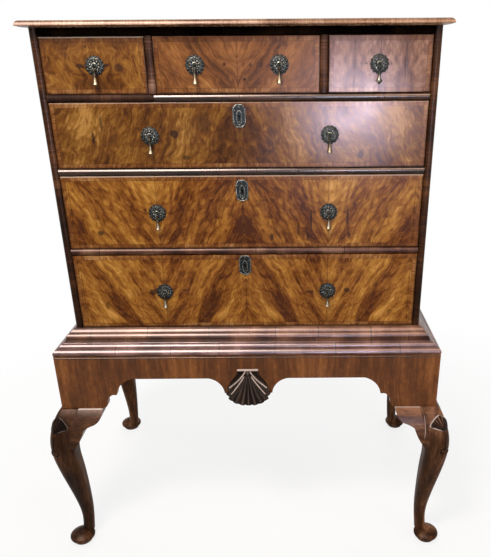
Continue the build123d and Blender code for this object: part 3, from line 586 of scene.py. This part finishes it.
# the hollow of the waist moulding is painted dark for the shade in it, and is far less glossy than the
# beads
shadedCoveWood = crossGrain(dict(
    name="walnut hollow painted dark for its shade", run="X", length=0.128, shift=0.05, spread=0.04,
    streakShare=0.15, rough=(0.4, 0.5), gloss=0.04, bump=0.03, returns=True,
    tones=tones("#200C04", "#2E150A", "#3C2012", "#4B2C1B", "#5E3D29")))

standTones = tones("#160B05", "#2A170B", "#3F2615", "#5B3A25", "#80573D")
# dark, quiet long grain down the legs, with painted light up by the frieze and a painted highlight on the
# top edge
legWood = solidWood(dict(
    name="solid walnut", stretch=(1, 1, 0.16), scale=30.0, tones=standTones, rough=(0.36, 0.48),
    gloss=0.06, ledge=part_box("front_leg_left")[1].z, paintedLift=(0.36, 0.44, 0.055), leftLift=0.5,
    rightLift=1.5))
# painted shade in the cuts and a painted highlight along the crests, so small carving reads from far off
carvedWood = solidWood(dict(
    name="carved dark walnut", stretch=(1, 1, 0.3), scale=34.0, rough=(0.24, 0.36), gloss=0.08,
    tones=tones("#0A0503", "#150C08", "#22150E", "#322118", "#46332A"), crest="#CBB8AE"))
# level grain, more polished than the legs, with painted light up by the frieze and a painted highlight on
# the top edge
bracketWood = solidWood(dict(
    name="bracket walnut", stretch=(0.25, 0.25, 1), scale=34.0, tones=standTones,
    rough=(0.26, 0.38), gloss=0.12, ledge=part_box("knee_brackets")[1].z, paintedLift=(0.36, 0.44, 0.065),
    leftLift=0.2, rightLift=2.0))
# pale, matt woods wherever nothing was polished
oakWood = solidWood(dict(
    name="dry oak lining", stretch=(1, 0.08, 1), scale=60.0, rough=(0.62, 0.78), gloss=0.25,
    tones=tones("#54391F", "#6E4F2F", "#8A6A42", "#A58558", "#BE9F72")))
pineWood = solidWood(dict(
    name="aged pine", stretch=(0.07, 1, 1), scale=45.0, rough=(0.66, 0.8), gloss=0.25,
    tones=tones("#3E2712", "#593B20", "#73502E", "#8D683F", "#A68052")))
backWood = solidWood(dict(
    name="aged pine upright boards", stretch=(1, 1, 0.06), scale=40.0, boards=0.152,
    tones=tones("#3A2512", "#54391F", "#6D4E2D", "#86643D", "#9E7A4E"), rough=(0.68, 0.82), gloss=0.25))
metalPlaces = (0.34, 0.46, 0.58, 0.75, 0.95)
# stamped plates gone nearly black, pendants still bright along the stem, and grey iron
darkBrass = oldMetal(dict(
    name="age-darkened stamped brass", scale=420.0, metallic=0.9, rough=(0.30, 0.46), bump=0.4,
    rubShare=0.32,
    tones=tones("#080807", "#10110F", "#1A1B18", "#343530", "#77786E", places=metalPlaces)))
brightBrass = oldMetal(dict(
    name="rubbed cast brass", scale=260.0, metallic=1.0, rough=(0.36, 0.48), bump=0.2,
    rubShare=0.42,
    tones=tones("#0C0A07", "#1A1610", "#2A231A", "#40382C", "#645A4A", places=metalPlaces)))
lockIron = oldMetal(dict(
    name="old lock iron", scale=300.0, metallic=0.9, rough=(0.45, 0.65), bump=0.4,
    tones=tones("#1A1817", "#2A2725", "#3D3A37", "#5A5652", "#706C66", places=metalPlaces)))
print("finishes made")

nodeMaterials = {
    "case_side_left": caseVeneer, "case_side_right": caseVeneer, "back_boards": backWood,
    "drawer_stops": oakWood, "stile_beads": stileBeadWood, "rail_beads": railBeadWood,
    "top_board": topVeneer, "waist_moulding": waistWood, "front_apron": friezeVeneer,
    "side_apron_left": sideFriezeVeneer, "side_apron_right": sideFriezeVeneer,
    "knee_brackets": bracketWood, "apron_shell": carvedWood,
    **dict.fromkeys(("case_bottom", "drawer_rails", "drawer_dividers", "drawer_runners", "stand_top_frame",
                     "back_apron"), pineWood),
    **dict.fromkeys(("front_leg_left", "front_leg_right", "rear_leg_left", "rear_leg_right"), legWood),
}
nameEndings = {"_box": oakWood, "_plates": darkBrass, "_escutcheon": darkBrass, "_drop": brightBrass,
               "_lock": lockIron, "_bolt": lockIron}
for name in nodes:
    for ending, material in nameEndings.items():
        if name.endswith(ending):
            nodeMaterials[name] = material
for drawer, material in frontMaterials.items():
    nodeMaterials[drawer + "_front"] = material
for name, material in nodeMaterials.items():
    mesh = nodes[name].data
    if mesh.materials:
        mesh.materials[0] = material
    else:
        mesh.materials.append(material)
print("frame dressed")

# drawer faces, with their long edges eased

def easedFace(drawer):
    ease = {"width": 0.0018, "steps": 3, "near": 0.00002}
    node = drawer + "_front"
    low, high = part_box(node)
    face = openMerged(node, drawer + "_face")
    bpy.ops.mesh.select_mode(type="EDGE")
    bpy.ops.mesh.dissolve_limited(angle_limit=radians(2))  # the triangles of each flat side join up again
    bpy.ops.mesh.select_all(action="DESELECT")
    shape = bmesh.from_edit_mesh(face.data)
    for edge in shape.edges:
        ends = [vertex.co for vertex in edge.verts]
        onFace = all(end.y < low.y + ease["near"] for end in ends)
        onRim = any(all(abs(end[axis] - limit) < ease["near"] for end in ends)
                    for axis, limit in ((0, low.x), (0, high.x), (2, low.z), (2, high.z)))
        edge.select_set(onFace and onRim)
    bmesh.update_edit_mesh(face.data)
    bpy.ops.mesh.bevel(offset=ease["width"], segments=ease["steps"], affect="EDGES")
    bpy.ops.object.mode_set(mode="OBJECT")
    finishPiece(face, drawer + "_face", node, frontMaterials[drawer], angle=30)
    addModifier(face, "WEIGHTED_NORMAL", weight=100, keep_sharp=True)
    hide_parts(node)


for drawer in frontLooks:
    easedFace(drawer)
print("drawer faces eased")


def turned(place, profile, sides=24):
    # a turned shape from the bottom up: (height, radius) in mm, as steps of extrude and scale
    unit = 0.001
    height, radius = profile[0]
    clearPick()
    bpy.ops.mesh.primitive_circle_add(vertices=sides, radius=radius * unit, fill_type="NGON",
            location=(place[0], place[1], place[2] + height * unit))
    piece = bpy.context.object
    bpy.ops.object.mode_set(mode="EDIT")
    bpy.ops.mesh.select_all(action="SELECT")
    for nextHeight, nextRadius in profile[1:]:
        bpy.ops.mesh.extrude_region_move(
            TRANSFORM_OT_translate={"value": (0, 0, (nextHeight - height) * unit)})
        ratio = nextRadius / radius
        bpy.ops.transform.resize(value=(ratio, ratio, 1))
        height, radius = nextHeight, nextRadius
    bpy.ops.mesh.select_all(action="SELECT")
    bpy.ops.mesh.normals_make_consistent(inside=False)
    bpy.ops.object.mode_set(mode="OBJECT")
    return freeze(piece)


def tube(points, radii, closed=False, sides=4):
    # a rounded, tapering strip along a path: points in metres, radii in mm
    clearPick()
    bpy.ops.curve.primitive_nurbs_path_add()
    path = bpy.context.object
    path.data.splines.clear()
    spline = path.data.splines.new("NURBS")
    spline.points.add(len(points) - 1)
    for target, point, radius in zip(spline.points, points, radii):
        target.co = (*point, 1)
        target.radius = radius
    spline.use_cyclic_u = closed
    spline.use_endpoint_u = not closed
    spline.order_u = 4 if len(points) > 3 else 3
    spline.resolution_u = 5
    path.data.dimensions = "3D"
    path.data.bevel_depth = 0.001
    path.data.bevel_resolution = sides
    path.data.use_fill_caps = True
    pickOnly(path)
    bpy.ops.object.convert(target="MESH")
    return bpy.context.object


def paintWearAndLight(piece, wearAndLightAt):
    # 0 to 1, kept on the piece: on metal, how far handling has polished each point; on carving, its painted
    #                            highlight and painted shade, pale near 1 and black near 0
    wearAndLight = piece.data.attributes.new("wearAndLight", "FLOAT", "POINT")
    for vertex in piece.data.vertices:
        wearAndLight.data[vertex.index].value = wearAndLightAt(vertex.co)


# pendant handles: one of each piece is made at the origin, then copied to every handle

handleJoints = {joint["child"]: joint for joint in frame["joints"] if joint["child"].endswith("_drop")}
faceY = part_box("bottom_drawer_front")[0].y

# rings of domes: how many, ring radius, depth, size, segments, start, and 1 where each turns with its place
# collars: radius, thickness, segments around and across, depth
rosette = {"domes": ((14, 0.0186, -0.0013, (0.0028, 0.0012, 0.0028), (12, 8), 0, 0),
                     (22, 0.0148, -0.0028, (0.0013, 0.0013, 0.0013), (8, 6), 0, 0),
                     (10, 0.0098, -0.0024, (0.0034, 0.0016, 0.0018), (12, 8), 0.5, 1)),
           "collars": ((0.0056, 0.0009, 28, 8, -0.0042), (0.0120, 0.0006, 36, 6, -0.0030))}


def flatDome(place, size, turnBy=0.0, parts=(12, 8)):
    bpy.ops.mesh.primitive_uv_sphere_add(segments=parts[0], ring_count=parts[1], radius=1, location=place)
    dome = bpy.context.object
    dome.scale = size
    dome.rotation_euler = (0, turnBy, 0)
    return dome


def makeRosette():
    clearPick()
    parts = []
    for count, ring, depth, size, segments, start, turning in rosette["domes"]:
        for index in range(count):
            angle = radians(360 * (index + start) / count)
            place = (ring * cos(angle), depth, ring * sin(angle))
            parts.append(flatDome(place, size, -angle * turning, segments))
    for ring, thick, around, across, depth in rosette["collars"]:
        bpy.ops.mesh.primitive_torus_add(major_radius=ring, minor_radius=thick, major_segments=around,
                minor_segments=across, location=(0, depth, 0),
                rotation=(radians(90), 0, 0))
        parts.append(bpy.context.object)
    whole = freeze(joinAll(parts))
    paintWearAndLight(whole, lambda point: min(1.0, max(0.0, (-point.y - 0.0022) / 0.0022)))
    return whole


# pendants from the tip up, as (height, radius) in mm: both kinds have the same tapering stem
stem = [(-32.0, 4.2), (-28.5, 3.6), (-25.0, 3.1), (-21.0, 2.6), (-17.0, 2.2), (-14.0, 1.9), (-11.6, 1.8)]
neck = [(-8.2, 1.8), (-5.5, 1.5), (-3.2, 1.3)]
dropProfile = [(-41.0, 3.6), (-40.8, 5.0), (-40.2, 6.0), (-39.2, 6.25), (-38.2, 6.0), (-37.0, 5.4),
               (-35.0, 4.8), *stem, (-11.0, 2.7), (-9.9, 3.0), (-8.8, 2.7), *neck]
pointedProfile = [(-43.0, 0.4), (-41.6, 1.8), (-40.2, 3.0), (-38.8, 4.0), (-37.4, 5.2), (-36.6, 7.2),
                  (-35.6, 7.9), (-34.6, 7.4), (-33.8, 5.2), *stem, (-11.0, 2.8), (-9.9, 3.2), (-8.8, 2.8),
                  *neck]


def makeDrop(profile):
    pendant = turned((0, 0, 0), profile)
    clearPick()
    bpy.ops.mesh.primitive_torus_add(major_radius=0.0022, minor_radius=0.0009, major_segments=20,
            minor_segments=8, rotation=(0, radians(90), 0))
    whole = freeze(joinAll([pendant, bpy.context.object]))
    paintWearAndLight(whole, lambda point: min(1.0, max(0.0, (-point.z - 0.012) / 0.020)))
    return whole


rosetteModel = makeRosette()
dropModels = {"plain": makeDrop(dropProfile), "pointed": makeDrop(pointedProfile)}
for name in [name for name in nodes if name in handleJoints]:
    plates = handleJoints[name]["parent"] + "_handle_plates"
    spot = Vector(handleJoints[name]["pos_m"])
    plateName = name.replace("_drop", "_rosette")
    plate = meshCopy(rosetteModel, plateName, Matrix.Translation((spot.x, faceY, spot.z)))
    finishPiece(plate, plateName, plates, darkBrass)
    # the right-hand handle is pointed and darker than the others
    pointed = name == "right_short_drawer_drop"
    model = dropModels["pointed" if pointed else "plain"]
    pendant = meshCopy(model, name + "_pendant", Matrix.Translation(spot))
    finishPiece(pendant, name + "_pendant", name, darkBrass if pointed else brightBrass, angle=50)
    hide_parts(name)
for model in [rosetteModel, *dropModels.values()]:
    bpy.data.objects.remove(model)
print("handles made:", len(handleJoints))

# escutcheons: a raised, lobed rim and a rim round the keyhole

escutcheonShape = {"outline": [(0, -24.3), (-3.5, -25.2), (-7.0, -24.0), (-10.2, -21.2), (-13.4, -17.6),
        (-14.2, -13.0), (-13.7, -6.0), (-14.1, 0), (-13.7, 6.0), (-14.2, 13.0),
        (-13.4, 17.6), (-10.2, 21.2), (-7.0, 24.4), (-3.5, 25.4), (0, 23.8)],
                   "rim": 1.3, "inner": (7.6, 16.0), "innerRim": 1.0,
                   "pins": ((0, 20.0), (0, -13.4), (0, -20.6), (10.6, 12.0), (-10.6, 12.0), (10.6, -12.0),
        (-10.6, -12.0))}


def makeEscutcheon():
    look = escutcheonShape
    unit = 0.001
    left = look["outline"]
    loop = left + [(-x, z) for x, z in reversed(left[1:-1])]
    parts = [tube([(x * unit, -0.0017, z * unit) for x, z in loop], [look["rim"]] * len(loop), closed=True)]
    wide, tall = look["inner"]
    hole = []
    for index in range(16):
        angle = radians(22.5 * index)
        waist = 1 - 0.22 * cos(angle) ** 2
        hole.append((wide * unit * cos(angle) * waist, -0.0019, (tall * sin(angle) - 3.6) * unit))
    parts.append(tube(hole, [look["innerRim"]] * len(hole), closed=True))
    clearPick()
    for x, z in look["pins"]:
        parts.append(flatDome((x * unit, -0.0018, z * unit), (0.0015, 0.0011, 0.0015)))
    whole = freeze(joinAll(parts))
    paintWearAndLight(whole, lambda point: min(1.0, max(0.0, (-point.y - 0.0018) / 0.0012)))
    return whole


escutcheonModel = makeEscutcheon()
for drawer in ("bottom_drawer", "centre_drawer", "upper_drawer"):
    node = drawer + "_escutcheon"
    low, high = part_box(node)
    middle = Vector(((low.x + high.x) / 2, faceY, (low.z + high.z) / 2))
    rim = meshCopy(escutcheonModel, node + "_rim", Matrix.Translation(middle))
    finishPiece(rim, node + "_rim", node, darkBrass)
bpy.data.objects.remove(escutcheonModel)
print("escutcheons made")

# the apron's shell: ribs fanned from the plinth, fused as one carving

shellShape = {"flare": 1.35, "rootHalf": 0.006, "rootAngle": 52, "capDrop": 0.001,
              "plinthHalf": 0.028, "plinthFoot": 0.556, "cell": 0.0009, "flatten": 0.55,
              "ribs": [(0, 0, 0.466, 8.8), (10.5, 0.0180, 0.467, 8.8), (21, 0.0350, 0.4725, 8.8),
                       (31, 0.0480, 0.4820, 8.4), (41, 0.0545, 0.496, 8.0), (51, 0.0545, 0.5125, 5.6)],
              "cords": ((0.006, 0.045, 1.3, 0.001, 0.052, 0.9), (0.011, 0.035, 1.1, 0.020, 0.052, 0.95))}


def ribSpot(side, angle, endX, endZ, top, share):
    # where a rib runs, from under the cap at 0 to its end at 1
    look = shellShape
    root = look["rootHalf"] * (angle / look["rootAngle"]) * (1 - share)
    return (side * (endX * share ** look["flare"] + root),
            top - look["capDrop"] + (endZ - top + look["capDrop"]) * share)


def makeShell():
    look = shellShape
    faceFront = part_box("front_apron")[0].y
    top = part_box("apron_shell")[1].z
    parts = []
    for angle, endX, endZ, endRadius in look["ribs"]:
        for side in ((1,) if angle == 0 else (-1, 1)):
            points = []
            radii = []
            for share in (0.0, 0.2, 0.4, 0.6, 0.8, 0.93, 1.0):
                x, z = ribSpot(side, angle, endX, endZ, top, share)
                proud = 0.0042 + 0.0026 * sin(radians(180 * min(1, share * 0.62 + 0.12)))
                points.append((x, -proud / look["flatten"], z))
                radii.append(1.6 + (endRadius - 1.6) * share ** 0.9)
            parts.append(tube(points, radii, sides=5))
    ribs = joinAll(parts)
    ribs.scale.y = look["flatten"]
    ribs.location.y = faceFront
    parts = [freeze(ribs)]
    clearPick()
    parts.append(flatDome((0, faceFront + 0.001, 0.511), (0.0545, 0.0048, 0.046), parts=(40, 20)))
    wide, foot = 2 * look["plinthHalf"], look["plinthFoot"]
    for place, size, ease in (((0, faceFront - 0.001, (top + foot) / 2), (wide, 0.006, top - foot), 0.0015),
            ((0, faceFront - 0.003, top - 0.0014), (wide, 0.012, 0.0024), 0.0012)):
        clearPick()
        bpy.ops.mesh.primitive_cube_add(size=1, location=place)
        block = bpy.context.object
        block.scale = size
        addModifier(freeze(block), "BEVEL", width=ease, segments=2)
        parts.append(block)
    # the shoulders that slope from the plinth out to the ears
    for side in (-1, 1):
        for inset in (0, 1):
            reach = 1 - 0.22 * inset
            web = [(side * 0.0235, 0.560 - 0.004 * inset), (side * 0.031 * reach, 0.546),
                   (side * 0.041 * reach, 0.530), (side * 0.0505 * reach, 0.517)]
            parts.append(tube([(x, faceFront - 0.0015, z) for x, z in web], [3.4, 4.6, 5.0, 4.6]))
    whole = freeze(joinAll(parts))
    addModifier(whole, "REMESH", mode="VOXEL", voxel_size=look["cell"])
    addModifier(whole, "SMOOTH", factor=0.5, iterations=2)
    addModifier(whole, "DECIMATE", ratio=0.5)
    # two raised cords run down each side from the cap, laid on the carved face
    cords = []
    parts = [whole]
    for startX, runX, bendX, startZ, runZ, bendZ in look["cords"]:
        for side in (-1, 1):
            points = []
            for step in range(15):
                share = step / 14
                x = side * (startX + runX * share ** bendX)
                z = top - startZ - runZ * share ** bendZ
                start = Vector((x, faceFront - 0.05, z))
                hit, spot, normal, face = whole.ray_cast(start, Vector((0, 1, 0)))
                points.append(Vector((x, (spot.y if hit else faceFront) - 0.0002, z)))
            parts.append(tube(points, [0.6 + 0.35 * sin(radians(180 * step / 14)) for step in range(15)]))
            cords += [points[0].lerp(points[1], 0.5)] + [first.lerp(second, part) for first, second in
                    zip(points, points[1:]) for part in (0, 0.5)]
    whole = joinAll(parts)
    # a painted highlight along the crest of each rib and the cords, painted shade between them
    lines = []
    for angle, endX, endZ, endRadius in look["ribs"]:
        for side in ((1,) if angle == 0 else (-1, 1)):
            lines.append([(*ribSpot(side, angle, endX, endZ, top, share), 0.0010 + 0.0058 * share)
                          for share in (index / 14 for index in range(15))])

    def paintedLightHere(point):
        if point.z > top - 0.0015 or min((point - spot).length for spot in cords) < 0.0017:
            return 1.0
        nearest = min(abs(point.x - x) / wide + 4 * abs(point.z - z) / 0.03 * 0.12
                      for line in lines for x, z, wide in line if abs(point.z - z) < 0.012)
        gathered = max(0.0, 1 - abs(point.x) / 0.011) * min(1.0, max(0.0, (point.z - 0.540) / 0.022))
        if point.z > look["plinthFoot"] - 0.002:
            return max(0.2, 0.55 * gathered)
        return max(0.55 * gathered, 0.46 - 0.42 * min(1.1, nearest))

    paintWearAndLight(whole, paintedLightHere)
    finishPiece(whole, "carved_apron_shell", "apron_shell", carvedWood, angle=60)
    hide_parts("apron_shell")


makeShell()
print("apron shell carved")

# knee carving on the front legs: a shell fan over a C-scroll, laid on the knee

kneeShape = {"hinge": 0.392, "shift": -0.008,
             "fan": ((0, 0.043), (12, 0.0375), (24, 0.0335), (36, 0.031), (48, 0.0295), (60, 0.0285)),
             "scroll": [(0.002, -0.048, 0.9), (0.008, -0.051, 1.7), (0.0115, -0.059, 2.3),
                        (0.008, -0.068, 2.3), (0.002, -0.066, 1.7)],
             "husk": [(0.0, -0.006, 1.0), (0.0, -0.022, 2.8), (0.0, -0.040, 2.4), (0.0, -0.058, 0.8)]}


def onKnee(leg, side, sideways, height):
    # the point of the leg's surface that lies sideways and up from the corner, seen along the diagonal
    outward = Vector((side, -1, 0)).normalized()
    tangent = Vector((side, 1, 0)).normalized()
    corner = Vector((side * kneeCorner[0], kneeCorner[1], 0))
    start = corner + outward * 0.15 + tangent * sideways + Vector((0, 0, height))
    hit, spot, normal, face = leg.ray_cast(start, -outward)
    return spot + normal * 0.0002 if hit else corner + outward * 0.03 + Vector((0, 0, height))


def onKneeFrom(leg, side, sideways, height):
    # the same, measured from the hinge of the fan
    return onKnee(leg, side, kneeShape["shift"] + sideways, kneeShape["hinge"] + height)


def onKneeDepth(leg, point):
    # how far the point stands out from the leg
    hit, spot, normal, face = leg.closest_point_on_mesh(point)
    return (point - spot).dot(normal) if hit else 0.0


kneeCorner = (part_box("front_apron")[1].x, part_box("front_apron")[0].y)
for side, legName, look in ((-1, "front_leg_left", {"rim": 0.45}), (1, "front_leg_right", {"rim": 0.95})):
    leg = nodes[legName]
    onLeg = partial(onKneeFrom, leg, side)
    parts = []
    rim = []
    for turnSide in (-1, 1):
        for angle, reach in kneeShape["fan"][1 if turnSide == 1 else 0:]:
            wide, tall = turnSide * sin(radians(angle)), cos(radians(angle))
            tip = onLeg((reach + 0.002) * wide, (reach + 0.002) * tall)
            shares = (0.12, 0.4, 0.7, 0.92, 1.0)
            points = [onLeg(turnSide * reach * share * sin(radians(angle)), reach * share * tall)
                      for share in shares]
            parts.append(tube(points, [0.6 + 2.2 * share ** 1.1 for share in shares]))
            rim.insert(0 if turnSide == -1 else len(rim), tip)
    lowRay = [onLeg(turnSide * 0.0262 * share, 0.0145 * share) for turnSide in (-1, 1)
              for share in (1.0, 0.6, 0.2)]
    lowRay = lowRay[:3] + lowRay[:2:-1]
    parts.append(tube(rim, [2.1] * len(rim)))
    parts.append(tube(lowRay, [1.7] * len(lowRay)))
    edge = [first.lerp(second, part / 6) for path in (rim, lowRay) for first, second in zip(path, path[1:])
            for part in range(7)]
    scrollRadii, huskRadii = ([radius for x, z, radius in kneeShape[part]] for part in ("scroll", "husk"))
    for turnSide in (-1, 1):
        points = [onLeg(turnSide * x, z) for x, z, radius in kneeShape["scroll"]]
        parts.append(tube(points, scrollRadii))
        edge += [points[1], points[1].lerp(points[2], 0.5)]
    parts.append(tube([onLeg(x, z) for x, z, radius in kneeShape["husk"]], huskRadii))
    carving = joinAll(parts)
    # kept within the size of the solids where the knee stands furthest forward
    for vertex in carving.data.vertices:
        vertex.co.y = max(vertex.co.y, cadBox[0][1])

    # a painted highlight along the fan's rim, the low ray and the scroll, paler on the right knee, and
    # painted shade where the carving meets the leg
    def paintedLightHere(point):
        level = look["rim"] if min((point - spot).length for spot in edge) < 0.0027 else 0.2
        return level * min(1.0, max(0.0, (onKneeDepth(leg, point) - 0.0004) / 0.0012))

    paintWearAndLight(carving, paintedLightHere)
    finishPiece(carving, legName + "_carving", legName, carvedWood, angle=60)

# on the right knee a painted highlight: a thin pale strip laid along the rounded joint of leg and bracket
jointHighlight = {"line": ((0.4750, 0.436), (0.4765, 0.424), (0.4780, 0.410), (0.4785, 0.396), (0.4780, 0.384),
                        (0.4770, 0.372)), "radius": 0.8}
points = []
for x, z in jointHighlight["line"]:
    spots = [nodes[name].ray_cast(Vector((x, -0.6, z)), Vector((0, 1, 0)))
             for name in ("front_leg_right", "knee_brackets")]
    points.append(Vector((x, min(spot.y for hit, spot, normal, face in spots if hit), z)))
seam = tube(points, [0.3] + [jointHighlight["radius"]] * (len(points) - 2) + [0.3])
paintWearAndLight(seam, lambda point: 0.9)
finishPiece(seam, "front_leg_right_rubbed_joint", "front_leg_right", carvedWood)
print("knees carved")

# the level and upright beads between the drawers, each rail its own piece and its own state

def separateBeads(node, finishOf):
    openMerged(node, node + "_strips")
    bpy.ops.mesh.separate(type="LOOSE")
    bpy.ops.object.mode_set(mode="OBJECT")
    strips = list(bpy.context.selected_objects)
    for strip in list(strips):
        places = [vertex.co for vertex in strip.data.vertices]
        level = max(p.x for p in places) - min(p.x for p in places) > 0.5
        if level and caseTop - 0.16 < places[0].z < caseTop - 0.03:
            strips.append(cutAt(strip, beadCut))
    for number, strip in enumerate(sorted(strips, key=lambda piece: piece.data.vertices[0].co.z)):
        xs, ys, zs = zip(*(vertex.co for vertex in strip.data.vertices))
        material = finishOf(min(xs), max(xs), (min(zs) + max(zs)) / 2)
        standFor(node, (strip, node + "_strip_" + str(number), material))


upward = Vector((0, 0, 1))


def cutAt(strip, place, along=Vector((1, 0, 0))):
    # the strip keeps what lies beyond the cut, and a new piece takes the rest
    clearPick()
    rest = meshCopy(strip, strip.name + "_rest")
    for piece, side in ((strip, "inner"), (rest, "outer")):
        pickOnly(piece)
        bpy.ops.object.mode_set(mode="EDIT")
        bpy.ops.mesh.select_all(action="SELECT")
        bpy.ops.mesh.bisect(plane_co=along * place, plane_no=along, use_fill=True,
                            clear_inner=side == "inner", clear_outer=side == "outer")
        bpy.ops.object.mode_set(mode="OBJECT")
    return rest


def standFor(node, *pieces):
    # these pieces, each with its name and its finish, stand for one CAD node
    for piece, name, material in pieces:
        finishPiece(piece, name, node, material, angle=30)
        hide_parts(node)


def beadFinish(left, right, middle):
    if right - left < 0.05:
        return litDividerBeadWood if abs(left) < 0.25 else stileBeadWood
    if middle > caseTop - 0.03:
        return shadeBlackBeadWood
    if middle > caseTop - 0.16:
        return dullBeadWood if right < 0 else railBeadWood
    return railBeadWood if middle > caseTop - 0.35 else lowBeadWood


beadCut = -0.193
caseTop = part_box("case_side_left")[1].z
separateBeads("rail_beads", beadFinish)

# the waist moulding: the dark hollow between its two groups of beads is a piece of its own
waistCuts = {"coveFoot": 0.6400, "coveTop": 0.6508}
upperWaist = openMerged("waist_moulding", "waist_upper_beads")
cove = cutAt(upperWaist, waistCuts["coveTop"], upward)
lowerWaist = cutAt(cove, waistCuts["coveFoot"], upward)
standFor("waist_moulding", (upperWaist, "waist_upper_beads", waistWood), (cove, "waist_cove", shadedCoveWood),
         (lowerWaist, "waist_lower_beads", lowWaistWood))

# the flat of the top is duller than its moulded edge, so they are two pieces
faceThick = 0.0004
topFace = openMerged("top_board", "top_board_face")
topEdge = cutAt(topFace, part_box("top_board")[1].z - faceThick, upward)
standFor("top_board", (topFace, "top_board_face", topFaceVeneer), (topEdge, "top_board_edge", topVeneer))

# a thread of moulding under the torus, along the top of the frieze
low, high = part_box("front_apron")
thread = tube([(low.x + 0.0015, low.y, high.z - 0.005), (0, low.y, high.z - 0.005),
               (high.x - 0.0015, low.y, high.z - 0.005)], [1.2, 1.2, 1.2])
finishPiece(thread, "frieze_thread", "front_apron", railBeadWood)
